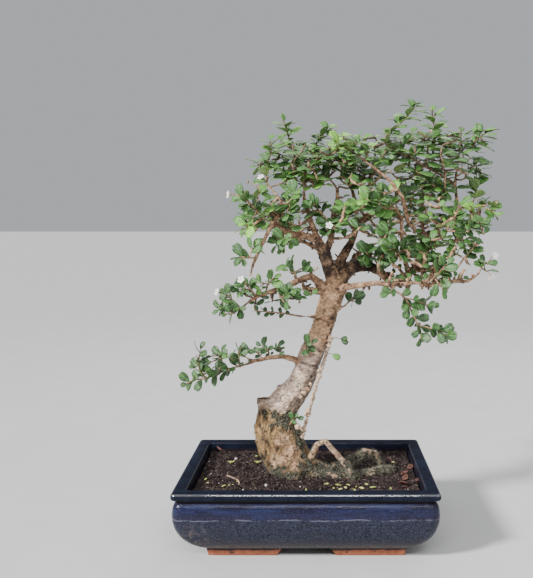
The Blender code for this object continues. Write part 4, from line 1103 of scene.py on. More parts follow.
draw = random.Random(23)
low_and_mossy = [index for index in range(len(wood_points))
                 if moss[index] > HAIRS_MOSS and HAIRS_ABOVE < wood_points[index][2] < HAIRS_BELOW]
threads_at = []
for index in draw.sample(low_and_mossy, HAIRS):
    out = Vector(wood_normals[index])
    lie = out.orthogonal().normalized()
    lie.rotate(Quaternion(out, draw.uniform(0, math.tau)))
    way = (out * draw.uniform(0.15, 0.7) + lie + Vector((0, 0, -0.35))).normalized()
    length = draw.uniform(*HAIR_LENGTH)
    pose = way.to_track_quat("Z", "X").to_matrix().to_4x4() @ Matrix.Diagonal((1.1, 1.1, length, 1))
    threads_at.append(Matrix.Translation(at(*wood_skin[index]) - out * 0.15 * MM) @ pose)
strewn("moss_threads", hair, threads_at, "leaf")
discard(hair)

# Sprays
# The crown's leafy shoots, one piece each: red-brown twigs that grew out of a limb, and along them the tree's
# small glossy leaves, spoon-shaped with a toothed tip, in tight tufts at the twig ends and singly behind.

SPRAYS = {                  # each spray's twigs, (x, y, z) in millimetres, the first from its limb
    "low_left_outer": (
        ((-70, -36, 212), (-84, -42, 209), (-101, -48, 204), (-114, -52, 199), (-127, -56, 197),
         (-140, -60, 193)),
        ((-78, -39, 210), (-79, -44, 223), (-76, -48, 234)),
        ((-94, -46, 205), (-99, -42, 218), (-100, -38, 229)),
        ((-117, -53, 199), (-124, -58, 214), (-121, -62, 233)),
    ),
    "low_left_inner": (
        ((-44, -24, 219), (-48, -20, 227), (-54, -16, 230)),
        ((-47, -21, 225), (-35, -28, 231)),
    ),
    "thin_left": (
        ((-9, -22, 267), (-22, -28, 270), (-41, -34, 273), (-60, -38, 275)),
    ),
    "shelf_outer": (
        ((-66, -50, 287), (-75, -54, 280), (-85, -58, 274), (-93, -63, 275)),
        ((-75, -54, 280), (-84, -57, 290), (-93, -60, 297)),
        ((-83, -57, 275), (-98, -52, 282)),
    ),
    "shelf_flower": (
        ((-59, -48, 295), (-64, -56, 302), (-69, -62, 310)),
        ((-64, -56, 302), (-76, -54, 302)),
    ),
    "shelf_mid": (
        ((-47, -42, 297), (-44, -46, 307), (-38, -50, 314)),
        ((-44, -46, 307), (-55, -40, 308)),
    ),
    "shelf_hanging": (
        ((-33, -37, 298), (-30, -44, 292), (-25, -50, 286)),
        ((-30, -44, 292), (-14, -52, 296)),
    ),
    "shelf_dark": (
        ((-12, -22, 310), (-15, -14, 319), (-23, -6, 327)),
        ((-15, -14, 319), (-3, -20, 325)),
    ),
    "hanging_left": (
        ((-57, -51, 338), (-66, -58, 338), (-75, -64, 339)),
        ((-65, -57, 338), (-60, -62, 350)),
    ),
    "left_under": (
        ((-28, -30, 367), (-25, -38, 358), (-18, -46, 353)),
        ((-25, -38, 358), (-34, -36, 352)),
    ),
    "left_bright": (
        ((-29, -25, 396), (-19, -30, 403), (-12, -36, 413)),
        ((-19, -30, 403), (-21, -38, 389)),
    ),
    "left_shoot": (
        ((-38, -20, 413), (-47, -18, 425), (-46, -16, 445), (-42, -15, 463), (-43, -14, 474)),
        ((-46, -16, 447), (-58, -20, 444)),
        ((-43, -19, 419), (-27, -12, 425), (-18, -6, 432)),
    ),
    "left_fork": (
        ((-40, -35, 378), (-53, -42, 385), (-60, -44, 395), (-71, -48, 405), (-80, -52, 409)),
        ((-57, -43, 391), (-64, -50, 378), (-71, -54, 370)),
        ((-60, -44, 395), (-54, -50, 408), (-54, -56, 420)),
    ),
    "pale_tip": (
        ((-4, 9, 417), (-3, 14, 427), (1, 18, 437)),
        ((-3, 14, 426), (10, 6, 429)),
    ),
    "pale_side": (
        ((-25, 13, 378), (-32, 18, 382), (-44, 26, 388)),
        ((-32, 18, 382), (-34, 28, 394)),
    ),
    "center_left": (
        ((28, 8, 376), (18, 0, 388), (8, -8, 400)),
        ((18, 0, 388), (3, -16, 395)),
    ),
    "star": (
        ((26, -6, 357), (25, -16, 366), (24, -26, 374)),
        ((25, -16, 366), (38, -30, 375)),
    ),
    "back_top": (
        ((34, 37, 424), (23, 42, 436), (10, 47, 450), (-7, 46, 450), (-21, 42, 443)),
        ((27, 41, 432), (13, 48, 426), (-6, 56, 432)),
        ((9, 47, 450), (0, 52, 464)),
    ),
    "back_right": (
        ((40, 34, 422), (51, 30, 420), (66, 26, 427), (83, 34, 432)),
        ((64, 27, 426), (72, 18, 417)),
    ),
    "high_left": (
        ((40, 61, 444), (22, 66, 460), (0, 70, 471), (-15, 72, 475), (-35, 70, 479)),
        ((3, 70, 469), (14, 76, 483), (26, 80, 500)),
        ((-23, 71, 477), (-26, 68, 494), (-32, 66, 508)),
    ),
    "high_left_bright": (
        ((54, 54, 428), (43, 46, 451), (39, 40, 475)),
        ((42, 45, 456), (54, 36, 472)),
    ),
    "high_mid": (
        ((66, -1, 437), (56, -6, 442), (45, -12, 448)),
        ((56, -6, 442), (51, -14, 430)),
    ),
    "crossing_tip": (
        ((74, -38, 443), (60, -36, 454), (48, -38, 461), (34, -40, 469)),
        ((67, -37, 448), (72, -48, 461)),
        ((52, -37, 458), (56, -46, 471)),
    ),
    "crossing_low": (
        ((104, -39, 415), (90, -48, 411), (74, -56, 414)),
        ((90, -48, 411), (82, -58, 398)),
    ),
    "riser_tip": (
        ((105, -28, 394), (91, -42, 394), (77, -54, 399)),
        ((91, -42, 394), (67, -62, 404)),
    ),
    "riser_low": (
        ((110, -24, 367), (98, -36, 370), (87, -46, 376)),
        ((98, -36, 370), (89, -48, 360)),
    ),
    "mid_leader": (
        ((55, 24, 371), (47, 10, 381), (41, 0, 390)),
        ((47, 10, 381), (59, -4, 393)),
    ),
    "right_low_front": (
        ((86, 24, 328), (77, 4, 336), (70, -14, 343)),
        ((77, 4, 336), (92, -12, 339)),
    ),
    "right_low_mid": (
        ((114, -6, 334), (105, -24, 343), (97, -38, 349)),
        ((105, -24, 343), (117, -36, 346)),
    ),
    "right_mid": (
        ((145, 4, 348), (148, -12, 346), (151, -28, 349)),
        ((148, -12, 346), (138, -26, 341)),
    ),
    "tall_mid_shoot": (
        ((136, -12, 446), (122, -20, 453), (106, -26, 459), (89, -32, 472), (108, -30, 491),
         (125, -28, 510)),
        ((130, -16, 449), (127, -8, 463)),
        ((115, -23, 456), (110, -14, 474)),
    ),
    "tall_right": (
        ((155, 29, 465), (157, 30, 479), (156, 32, 497), (153, 33, 517)),
        ((156, 29, 472), (174, 40, 478)),
    ),
    "right_top": (
        ((188, 30, 470), (190, 34, 481), (190, 36, 492)),
        ((189, 32, 476), (206, 28, 479), (220, 24, 488)),
    ),
    "right_upper": (
        ((187, 29, 436), (201, 36, 445), (216, 44, 450)),
        ((201, 36, 445), (221, 40, 438)),
    ),
    "right_upper_front": (
        ((172, 16, 430), (159, -2, 421), (145, -14, 423)),
        ((159, -2, 421), (166, -14, 414)),
    ),
    "right_fork": (
        ((196, 17, 398), (208, 12, 398), (222, 6, 399)),
        ((200, 15, 398), (208, 24, 413), (209, 32, 428)),
        ((210, 11, 398), (229, 4, 389)),
    ),
    "far_right": (
        ((168, -23, 368), (178, -30, 368), (192, -36, 373), (207, -40, 377)),
        ((170, -25, 368), (172, -36, 379), (171, -44, 390)),
    ),
    "tall_base": (
        ((139, 10, 400), (127, 16, 405), (119, 24, 415)),
        ((127, 16, 405), (128, 28, 393)),
    ),
    "lower_riser": (
        ((183, -17, 330), (189, -20, 339), (198, -24, 350)),
        ((186, -19, 335), (172, -26, 343)),
    ),
    "lower_right_tip": (
        ((203, -23, 318), (207, -26, 327), (215, -30, 334)),
        ((206, -25, 324), (212, -34, 320)),
    ),
    "pale_riser": (
        ((144, -40, 310), (151, -46, 319), (160, -52, 330)),
        ((148, -42, 314), (157, -50, 301)),
    ),
    "hanging_right": (
        ((101, -34, 299), (114, -40, 291), (123, -46, 272), (131, -50, 257), (132, -52, 244)),
        ((113, -40, 291), (127, -48, 288), (142, -54, 282)),
        ((129, -49, 260), (148, -56, 255), (166, -60, 246)),
        ((105, -36, 297), (96, -46, 296)),
    ),
    "trunk_leaves": (
        ((1, -12, 222), (-1, -20, 228), (6, -26, 236)),
    ),
    "right_twig": (
        ((46, 8, 276), (52, 12, 281), (61, 18, 286)),
    ),
    "base_leaves": (
        ((-22, -26, 129), (-20, -32, 138), (-15, -36, 147)),
    ),
    "back_low": (
        ((88, 94, 349), (100, 104, 354), (112, 112, 362)),
        ((98, 102, 353), (84, 112, 362)),
    ),
    "back_high": (
        ((133, 94, 413), (144, 102, 422), (152, 108, 434)),
        ((142, 101, 420), (126, 110, 426)),
    ),
    "back_left": (
        ((-16, 68, 358), (-28, 78, 364), (-38, 86, 374)),
        ((-26, 77, 363), (-20, 92, 366)),
    ),
}

FLOWER_STALKS = {           # (spray, twig, joint of its stalk, middle in millimetres, way it faces)
    "shelf_end": ("shelf_outer", 1, 2, (-99, -64, 299), (-0.8, -0.5, 0.3)),
    "shelf_inner": ("shelf_flower", 0, 2, (-72, -68, 313), (-0.4, -0.8, 0.4)),
    "left_shoot": ("left_shoot", 0, 1, (-53, -23, 429), (-0.3, -0.6, 0.7)),
    "left_fork": ("left_fork", 0, 4, (-86, -55, 409), (-0.9, -0.4, 0.1)),
    "star": ("star", 0, 2, (26, -33, 374), (0.1, -0.95, 0.25)),
    "right_tip": ("lower_right_tip", 0, 2, (218, -35, 339), (0.4, -0.8, 0.3)),
    "right_low": ("lower_right_tip", 1, 1, (214, -40, 315), (0.2, -0.7, -0.5)),
}

FLOWER_CLEAR = 6.5          # millimetres round a flower's middle that no leaf covers
FLOWER_MIDDLES = [at(*middle) for _, _, _, middle, _ in FLOWER_STALKS.values()]
BASE_DEEP, BASE_SUNK = 0.5, 1.2                 # a twig's base less deep than this is sunk further in
FIRST_TWIG, SIDE_TWIG = (3.0, 1.45, 0.75), (0.8, 1.05, 0.65)    # how deep it starts, radii at base and tip
BARE_SHARE, BARE_MOST = 0.3, 10                 # how much of a twig's base carries no leaf
LEAF_PITCH = 3.6            # millimetres between leaf joints along a twig
LEAF_LENGTH = (14.0, 20.5)
LEAF_WIDTH_SHARE = 0.68
LEAF_SHARE = 0.95           # a living leaf's size over that of the solid blade that stands for it
ODD_LEAVED = {              # sprays whose leaves are smaller or larger than most
    "base_leaves": 0.58, "trunk_leaves": 0.8, "low_left_inner": 0.8, "low_left_outer": 0.85, "thin_left": 0.5,
    "hanging_right": 0.9, "high_left": 1.15, "high_left_bright": 1.25, "right_top": 1.2, "tall_right": 1.15,
    "back_top": 1.1, "shelf_outer": 0.8, "shelf_flower": 0.85, "shelf_mid": 0.85,
}
FRESH_GROWTH = ((64, 406, 12), (197, 396, 15), (-58, 414, 14), (40, 481, 17), (-45, 305, 14))
CROWN_HEART = at(62, 12, 350)
GOLDEN_ANGLE = math.radians(137.5)
LEAF_OUTLINE = ((0.0, 0.04), (0.12, 0.15), (0.30, 0.60), (0.50, 0.93), (0.67, 1.0), (0.86, 0.84),
                (0.97, 0.48))
MODEL_LEAF = (17.0, 11.2)   # the size that the one leaf is modelled at, before each copy is scaled
# A blade's far points, as shares of its length and width and millimetres above its rib.
FAR_POINTS = ((1, 0.3, -3), (1, -0.3, -3), (0.66, 0.5, 1), (0.66, -0.5, 1), (0.5, 0, 1))
TUFT_LEAF_LENGTH, TUFT_LEAF_WIDTH_SHARE = (13.0, 18.5), (0.60, 0.74)
CROWN_TOP_FROM, CROWN_TOP_DEPTH = 390, 80       # millimetres above the table
LOW_LEAVES_FACE, TOP_LEAVES_FACE = (-0.15, -0.50, 0.70), (0, -0.42, 1.10)
# How much lighter or darker a leaf is painted by its height in the crown, as painted light and shade.
PAINTED_LIGHT_FROM, PAINTED_LIGHT_DEPTH, PAINTED_LIGHT_LEAST, PAINTED_LIGHT_MOST = 325, 230, -0.30, 0.26

wood_tree = BVHTree.FromPolygons([vertex.co for vertex in trunk.data.vertices],
                                 [tuple(face.vertices) for face in trunk.data.polygons])


def leaf_joints(points):
    """Places and directions of the leaf joints, from the twig's tip back towards its base."""
    lengths = [(after - before).length for before, after in zip(points, points[1:])]
    total = sum(lengths)
    bare = min(BARE_SHARE * total, BARE_MOST * MM)
    joints = []
    back = 0.0
    while back < total - bare:
        left = total - back
        for before, after, length in zip(points, points[1:], lengths):
            if left <= length:
                direction = (after - before).normalized()
                joints.append((before + direction * left, direction))
                break
            left -= length
        back += LEAF_PITCH * MM
    return joints


def blade_frame(place, way, facing):
    """A leaf's turn and place: its rib runs along way, and its upper side looks as near facing as it can."""
    side = facing.cross(way).normalized()
    pose = Matrix((way, side, way.cross(side))).transposed().to_4x4()
    pose.translation = place
    return pose


def height_in_crown(place):
    """0 in the lower crown, rising to 1 at its top, where the leaves lie flat to the light."""
    return min(max(((place - pot_middle).z / MM - CROWN_TOP_FROM) / CROWN_TOP_DEPTH, 0), 1)


def lit_side(high):
    """The way a blade likes to face: to the window's side low down, and to the sky at the crown's top."""
    return Vector(LOW_LEAVES_FACE).lerp(Vector(TOP_LEAVES_FACE), high)


def sideways(way, turn):
    """A direction at right angles to another, turned round it."""
    return Quaternion(way, turn) @ way.orthogonal().normalized()


def leaf_pose(key, joint, place, direction):
    """A leaf's matrix, length and width: golden-angle turns, tips young, blades facing up and out."""
    draw = random.Random(key)
    high = height_in_crown(place)
    across = sideways(direction, joint * GOLDEN_ANGLE + draw.uniform(-0.3, 0.3))
    spread = 0.45 if joint == 0 else draw.uniform(0.9, 1.4)
    way = (direction + across * spread + Vector((0, 0, draw.uniform(0.05, 0.45)))).normalized()
    way.z *= 1 - 0.4 * high
    outward = (place - CROWN_HEART).normalized() * 0.75 * (1 - 0.7 * high)
    tilt = Vector((draw.uniform(-0.6, 0.6), draw.uniform(-0.6, 0.6), 0)) * (1 - 0.5 * high)
    pose = blade_frame(place, way.normalized(), lit_side(high) + outward + tilt)
    youth = 0.72 if joint == 0 else 1.0
    length = draw.uniform(*LEAF_LENGTH) * youth
    return pose, length, length * LEAF_WIDTH_SHARE * draw.uniform(0.9, 1.1)


def fitted(pose, length, width):
    """The leaf's matrix, drawn shorter where it would reach out of the crown, and its blade's far points."""
    while True:
        long, wide = length / MODEL_LEAF[0], width / MODEL_LEAF[1]
        shape = pose @ Matrix.Diagonal((long, wide, long, 1))
        reach = [shape @ Vector((x * MODEL_LEAF[0] * MM, y * MODEL_LEAF[1] * MM, z * MM))
                 for x, y, z in FAR_POINTS]
        if all(cad_low[axis] + 0.5 * MM < point[axis] < cad_high[axis] - 0.5 * MM
               for point in reach for axis in range(3)):
            return shape, reach
        length *= 0.9
        width *= 0.9


def under_bark(point):
    """How deep in the wood a point lies, in millimetres, and the bark's nearest place with its normal."""
    nearest, normal, _, _ = wood_tree.find_nearest(point)
    return (nearest - point).dot(normal) / MM, nearest, normal


def in_wood(point):
    """Whether a point lies in the wood, or within half a millimetre of it."""
    return under_bark(point)[0] > -0.4


def twig_stations(points, first, draw):
    """A twig's fine route with its radii: tapering, swollen at each joint, its base sunk into its limb."""
    depth, base, tip = FIRST_TWIG if first else SIDE_TWIG
    sunk = points[0] - (points[1] - points[0]).normalized() * depth * MM
    if first:
        deep, bark_place, bark_normal = under_bark(sunk)
        if deep < BASE_DEEP:
            sunk = bark_place - bark_normal * BASE_SUNK * MM
    route = smooth_route([sunk, *points], 4)
    stations = []
    for step, point in enumerate(route):
        share = step / (len(route) - 1)
        knob = 0.16 * math.sin(step * 2.1) + draw.uniform(-0.06, 0.10)
        wander = jitter(draw, 0.18) * MM
        stations.append((point + wander * (0.2 < share < 0.95), (base + (tip - base) * share) * (1 + knob)))
    return stations


twig_bark, tree, shader = new_finish("twig_bark", Roughness=0.75)
middle = centred(tree)
brown = mixed(mask(middle, 200.0, 0.38, 0.62), (0.130, 0.066, 0.038), (0.560, 0.350, 0.210))
brown = mixed(mask(middle, 90.0, 0.50, 0.68), brown, (0.180, 0.175, 0.070))
height = axis(middle, "Z")
brown = mixed(times(band(height, 0.415, 0.470), 0.70), brown, (0.062, 0.038, 0.026))
brown = mixed(times(band(height, 0.325, 0.295), 0.50), brown, (0.075, 0.045, 0.030))
feed(shader, Base_Color=brown, Normal=bump(mask(middle, 800.0, 0.3, 0.7), 0.0003, 0.8))


def leaf_finish(name, deep, bright, rib, gloss, veins):
    """Leaf green: darker and lighter leaves by their tone, pale ribs and side veins, fine mottling."""
    finish, tree, shader = new_finish(name, Roughness=gloss, Subsurface_Radius=(0.002, 0.004, 0.001))
    middle = centred(tree)
    tone = node(tree, "Attribute", attribute_name="tone").outputs["Fac"]
    green = ramp(tone, (0.0, deep[0]), (0.4, deep[1]), (0.75, bright[0]), (1.0, bright[1]))
    green = mixed(times(mask(middle, 240.0, 0.35, 0.7), 0.45), green, bright[0])
    blade = node(tree, "UVMap", uv_map="blade").outputs["UV"]
    across = maths("ABSOLUTE", minus(axis(blade, "Y"), 0.5))
    midrib = band(across, 0.075, 0.015)
    slant = minus(times(axis(blade, "X"), 8.0), times(across, 7.0))
    wave = maths("COSINE", times(slant, math.tau))
    side_veins = times(band(wave, 0.72, 1.0), band(across, 0.47, 0.30))
    lines = maths("MAXIMUM", midrib, times(side_veins, veins))
    green = mixed(times(lines, 0.5), green, rib)
    edge = times(band(across, 0.44, 0.50), 0.25)
    green = mixed(edge, green, (0.230, 0.220, 0.060))
    quilt = times(mask(middle, 700.0, 0.3, 0.7), 0.6)
    quilt = plus(times(lines, -1.0), quilt)
    feed(shader, Base_Color=green, Normal=bump(quilt, 0.0004, 0.6))
    return finish


leaf_top = leaf_finish("leaf_top", ((0.012, 0.042, 0.015), (0.044, 0.120, 0.032)),
                       ((0.090, 0.240, 0.034), (0.210, 0.470, 0.050)), (0.170, 0.300, 0.090), 0.35, 0.35)
leaf_under = leaf_finish("leaf_under", ((0.065, 0.120, 0.045), (0.110, 0.195, 0.062)),
                         ((0.190, 0.310, 0.090), (0.380, 0.520, 0.130)), (0.280, 0.360, 0.140), 0.6, 0.8)

leaf = thin_blade("leaf", [size * MM for size in MODEL_LEAF], LEAF_OUTLINE, (0.22, 0.20, 0.18), 0.4 * MM,
                  (6, 4), [twig_bark, leaf_top, leaf_under], top=1, teeth=0.9 * MM)


def leafy(name, stems, leaves, slot, *nodes):
    """One piece from a mesh of stems and its leaves' (matrix, tone), riding with the tree."""
    foliage = scatter(name, leaf, [pose for pose, _ in leaves], [tone for _, tone in leaves])
    coat(stems, twig_bark)
    join(foliage, stems)
    settle(foliage, name)
    belong(foliage, slot, *nodes)


def hides_flower(point):
    """Whether a leaf's point would stand right before a flower, which opens where nothing shades it."""
    clear = FLOWER_CLEAR * MM
    return any(abs(point.x - flower.x) < clear and abs(point.z - flower.z) < clear
               and point.y < flower.y + 3 * MM for flower in FLOWER_MIDDLES)


def dressed(key, pose, length, width, youth=0.0):
    """A leaf's matrix and tone in a list, or an empty list where it would meet the wood or hide a flower."""
    shape, reach = fitted(pose, length, width)
    if any(in_wood(point) or hides_flower(point) for point in reach):
        return []
    draw = random.Random("tone " + key)
    place = (pose.translation - pot_middle) / MM
    # Painted light and shade: leaves are lighter the higher they sit in the crown, and darker low in it.
    painted_light = min(max((place.z - PAINTED_LIGHT_FROM) / PAINTED_LIGHT_DEPTH, PAINTED_LIGHT_LEAST), PAINTED_LIGHT_MOST)
    tone = 0.09 + 0.08 * height_in_crown(pose.translation) + painted_light + 0.45 * noise.noise(place / 34)
    fresh = any(math.hypot(place.x - x, place.z - z) < radius for x, z, radius in FRESH_GROWTH)
    tone += draw.uniform(-0.18, 0.22) + youth + 0.45 * (fresh and place.y < 40)
    return [(shape, min(max(tone + 0.4 * (draw.random() < 0.05), 0), 1))]


def rosette(key, tip, way, count, size):
    """A tuft: leaves in a star round a shoot's tip, spread wide, and flatter the higher in the crown."""
    draw = random.Random(key)
    high = height_in_crown(tip)
    outward = (tip - CROWN_HEART).normalized()
    tuft = []
    for number in range(count):
        across = sideways(way, number * GOLDEN_ANGLE + draw.uniform(-0.35, 0.35))
        rise = (0.85 - 0.5 * min(number, 3) / 3) * (1 - 0.45 * high) + draw.uniform(-0.15, 0.2)
        heading = (across + way * rise + Vector((0, 0, draw.uniform(-0.1, 0.2)))).normalized()
        heading.z *= 0.75 - 0.15 * high
        tilt = Vector((draw.uniform(-0.6, 0.6), draw.uniform(-0.6, 0.6), 0)) * (1 - 0.5 * high)
        facing = lit_side(high) + outward * 0.6 * (1 - high) + way * 0.3 + tilt
        length = draw.uniform(*TUFT_LEAF_LENGTH) * size * (0.60 + 0.40 * min(number, 2) / 2)
        width = length * draw.uniform(*TUFT_LEAF_WIDTH_SHARE)
        pose = blade_frame(tip - way * number * 0.7 * MM, heading.normalized(), facing)
        youth = 0.22 * (number == 0) + 0.08 * (number == 1)
        tuft += dressed("%s %d" % (key, number), pose, length, width, youth)
    return tuft


def side_shoot(key, foot, way, reach, count, size):
    """A short shoot's stem stations and the leaves of the tuft that it ends in."""
    tip = foot + way * reach * MM
    bend = foot + way * reach * 0.5 * MM + Vector((0, 0, -0.06 * reach * MM))
    stem = [(foot - way * 0.4 * MM, 0.85), (bend, 0.65), (tip, 0.5)]
    return stem, rosette(key, tip, way, count, size)


WITHOUT_SIDE_SHOOTS = ("low_left_outer", "low_left_inner", "hanging_right", "thin_left")
SIDE_SHOOT_EVERY = 3        # leaf joints
SIDE_SHOOT_REACH, SIDE_SHOOT_LEAVES, SIDE_LEAF_SIZE = (3.0, 9.0), (2, 3, 3, 4), (0.75, 1.0)

for spray, routes in SPRAYS.items():
    draw = random.Random("twig " + spray)
    twigs = [[at(*point) for point in route] for route in routes]
    stems = [twig_stations(points, index == 0, draw) for index, points in enumerate(twigs)]
    for owner, twig, joint, middle, facing in FLOWER_STALKS.values():
        if owner == spray:
            cup = at(*middle) - Vector(facing).normalized() * 0.3 * MM
            neck = cup - Vector(facing).normalized() * 1.6 * MM
            bend = (twigs[twig][joint] + neck) / 2 + Vector((0, 0, 1.5 * MM))
            stems.append([(twigs[twig][joint], 0.7), (bend, 0.55), (neck, 0.7), (cup, 1.3)])
    leaves = []
    for twig, points in enumerate(twigs):
        for joint, (place, direction) in enumerate(leaf_joints(points)):
            key = "%s %d %d" % (spray, twig, joint)
            pose, length, width = leaf_pose(key, joint, place, direction)
            share = LEAF_SHARE * ODD_LEAVED.get(spray, 1)
            leaves += dressed(key, pose, length * share, width * share, 0.2 * (joint == 0))
            if (joint + 1) % SIDE_SHOOT_EVERY == 0 and spray not in WITHOUT_SIDE_SHOOTS:
                across = sideways(direction, draw.uniform(0, math.tau))
                way = (direction * 0.5 + across * 0.8 + Vector((0, 0, 0.45))).normalized()
                stem, tuft = side_shoot(key, place, way, draw.uniform(*SIDE_SHOOT_REACH),
                                        draw.choice(SIDE_SHOOT_LEAVES), draw.uniform(*SIDE_LEAF_SIZE))
                stems.append(stem)
                leaves += tuft
    leafy("spray_leafy_" + spray, shoots(spray, stems), leaves, "leaf", "spray_" + spray)

# Inner shoots
# The crown's fine twigs between its sprays: crooked tan shoots that fork off the older limbs and each other,
# knobbly with old leaf scars, with a tuft of leaves at each end. Each mass of the crown has its own piece.

FULL, AIRY, BARE = (2, 2, 3, 3, 4), (1, 2, 2, 3, 3), (1, 2, 2, 3)   # how many leaves a tuft may have
CROWN_MASSES = {            # middle, half sizes (millimetres), tufts, leaves in one, their size, thickness
    "upper_right": ((150, 12, 452), (52, 48, 42), 92, AIRY, 1.26, 1.3),
    "middle_right": ((163, 0, 372), (56, 52, 44), 66, FULL, 1.05, 1.8),
    "centre": ((72, 10, 398), (52, 50, 46), 36, AIRY, 1.05, 1.9),
    "upper_middle": ((66, 20, 456), (50, 46, 30), 72, AIRY, 1.26, 1.3),
    "upper_left": ((-6, 14, 448), (46, 42, 32), 54, AIRY, 1.22, 1.3),
    "left": ((-42, -8, 384), (36, 36, 38), 29, FULL, 1.0, 1.7),
    "left_shelf": ((-46, -30, 293), (52, 24, 11), 18, BARE, 0.9, 1.2),
    "low_left": ((-56, -26, 222), (32, 9, 8), 16, BARE, 0.68, 1.0),
    "low_left_end": ((-106, -46, 213), (32, 12, 15), 18, BARE, 0.74, 1.0),
    "right_tip": ((207, 28, 478), (22, 18, 15), 12, FULL, 1.1, 1.0),
    "back_right": ((118, 88, 388), (46, 22, 42), 26, FULL, 1.0, 1.4),
    "back_left": ((-22, 78, 368), (26, 20, 18), 9, FULL, 1.0, 1.3),
    "low_right": ((138, -10, 320), (60, 42, 24), 70, (0, 0, 1, 1, 2), 1.0, 2.2),
}
TUFT_SPACING, LONGEST_SHOOT, SHOOT_JOINT = 11.0, 55.0, 5.0
WOOD_CARRIERS, CARRIERS_ABOVE = 5000, 215       # places on the limbs that may carry a shoot


def finder(carriers):
    """A search for the nearest of the places that may carry a shoot."""
    search = KDTree(len(carriers))
    for number, (place, _) in enumerate(carriers):
        search.insert(place, number)
    search.balance()
    return search


draw = random.Random(71)
crown_wood = [index for index in range(len(wood_points))
              if bole[index] < 0.2 and wood_points[index][2] > CARRIERS_ABOVE]
carriers = [(at(*wood_skin[index]), Vector(wood_normals[index]))
            for index in draw.sample(crown_wood, WOOD_CARRIERS)]
for spray, routes in SPRAYS.items():
    for route in routes:
        carriers += leaf_joints([at(*point) for point in route])
for mass, (middle, half, count, leaf_counts, size, thick) in CROWN_MASSES.items():
    goals = []
    while len(goals) < count:
        goal = jitter(draw, 1)
        if goal.length > 1:
            continue
        goal = at(*(centre + share * reach for centre, share, reach in zip(middle, goal, half)))
        crowded = any((goal - other).length < TUFT_SPACING * MM for other in goals)
        if not crowded or draw.random() < 0.02:
            goals.append(goal)
    # A shoot grows to each goal in a bend, from the nearest wood or shoot, and the shortest ways come first.
    grown = finder(carriers)
    goals.sort(key=lambda goal: grown.find(goal)[2])
    stems = []
    leaves = []
    newer = []
    for number, goal in enumerate(goals):
        place, index, far = grown.find(goal)
        direction = carriers[index][1]
        for other, other_direction in newer:
            if (other - goal).length < far:
                place, direction, far = other, other_direction, (other - goal).length
        if far > LONGEST_SHOOT * MM or in_wood(goal):
            continue
        middle_of_bend = (place + goal) / 2 + direction * far * 0.2 + Vector((0, 0, -0.12 * far))
        stem = []
        steps = max(2, round(far / MM / SHOOT_JOINT))
        for step in range(steps + 1):
            t = step / steps
            point = place * (1 - t) ** 2 + middle_of_bend * 2 * t * (1 - t) + goal * t ** 2
            point += jitter(draw, 0.5) * MM * (0 < step < steps)
            knob = 1 + 0.2 * (step % 2) + draw.uniform(-0.05, 0.1)
            stem.append((point, (0.65 + 0.022 * far / MM * (1 - t)) * knob * thick))
        stems.append(stem)
        way = (goal - stem[-2][0]).normalized()
        newer += [(point, way) for point, _ in stem[1:]]
        way = (way * 0.5 + Vector((draw.uniform(-0.3, 0.3), draw.uniform(-0.3, 0.3), 0.75))).normalized()
        leaves += rosette("%s %d" % (mass, number), goal, way, draw.choice(leaf_counts),
                          size * draw.uniform(0.85, 1.15))
    carriers += newer
    leafy("inner_shoots_" + mass, shoots("inner", stems), leaves, "leaf")

# Sprouts on the aerial root
# Two thin side shoots near the aerial root's upper end, one with a pair of dark leaves and one with a single
# young yellow-green leaf that hangs from it.

SPROUTS = (                 # route in millimetres, (length, width) of each leaf, extra lightness
    (((28, -9, 236), (34, -14, 240), (40, -16, 239)), ((11, 7), (9, 6)), 0.0),
    (((22, -14, 217), (26, -17, 221), (29, -18, 221)), ((12.5, 8),), 0.9),
)
stems = []
leaves = []
for number, (route, sizes, youth) in enumerate(SPROUTS):
    points = [at(*place) for place in route]
    stems.append([(point, 0.6 - 0.1 * step) for step, point in enumerate(points)])
    way = (points[-1] - points[-2]).normalized()
    for leaf_number, (length, width) in enumerate(sizes):
        heading = (way + Vector((0.2, -0.3, -0.5 + 0.9 * leaf_number))).normalized()
        pose = blade_frame(points[-1], heading, Vector((-0.2, -0.8, 0.6)))
        leaves += dressed("sprout %d %d" % (number, leaf_number), pose, length, width, youth)
leafy("root_sprouts", shoots("sprouts", stems), leaves, "leaf")
discard(leaf)

# Snags
# Short dark stubs of pinched and died-back shoots that bristle on the fork and the first limbs, where a
# bonsai is cut back again and again.

SNAGS, SNAG_LENGTHS, SNAG_RADIUS = 240, (2.2, 3.0, 4.0, 6.5), (0.8, 1.8)
FORK_LEFT, FORK_RIGHT, FORK_LOW, FORK_HIGH = -45, 170, 285, 400

draw = random.Random(97)
forked = [index for index in crown_wood if FORK_LOW < wood_points[index][2] < FORK_HIGH
          and FORK_LEFT < wood_points[index][0] < FORK_RIGHT]
stubs = []
for index in draw.sample(forked, SNAGS):
    out = Vector(wood_normals[index])
    way = (out + jitter(draw, 0.6)).normalized()
    foot = at(*wood_skin[index]) - out * 0.8 * MM
    length = draw.choice(SNAG_LENGTHS) * draw.uniform(0.8, 1.2) * MM
    thick = draw.uniform(*SNAG_RADIUS)
    knee = foot + way * length * 0.6
    stubs.append([(foot, thick * 1.4), (knee, thick), (knee + (way + out * 0.5) * length * 0.4, thick * 0.8)])
snags = shoots("snags", stubs)
coat(snags, mottled("snag_bark", (260.0, 0.40, 0.62), (0.030, 0.018, 0.013), (0.260, 0.140, 0.080),
                    (900.0, 0.0004, 0.8), Roughness=0.85))
settle(snags, "snags")
belong(snags, "bark")

# Spent flowers
# Shrivelled brown corollas and swelling green-brown fruit that still hang on thin stalks among the leaves.

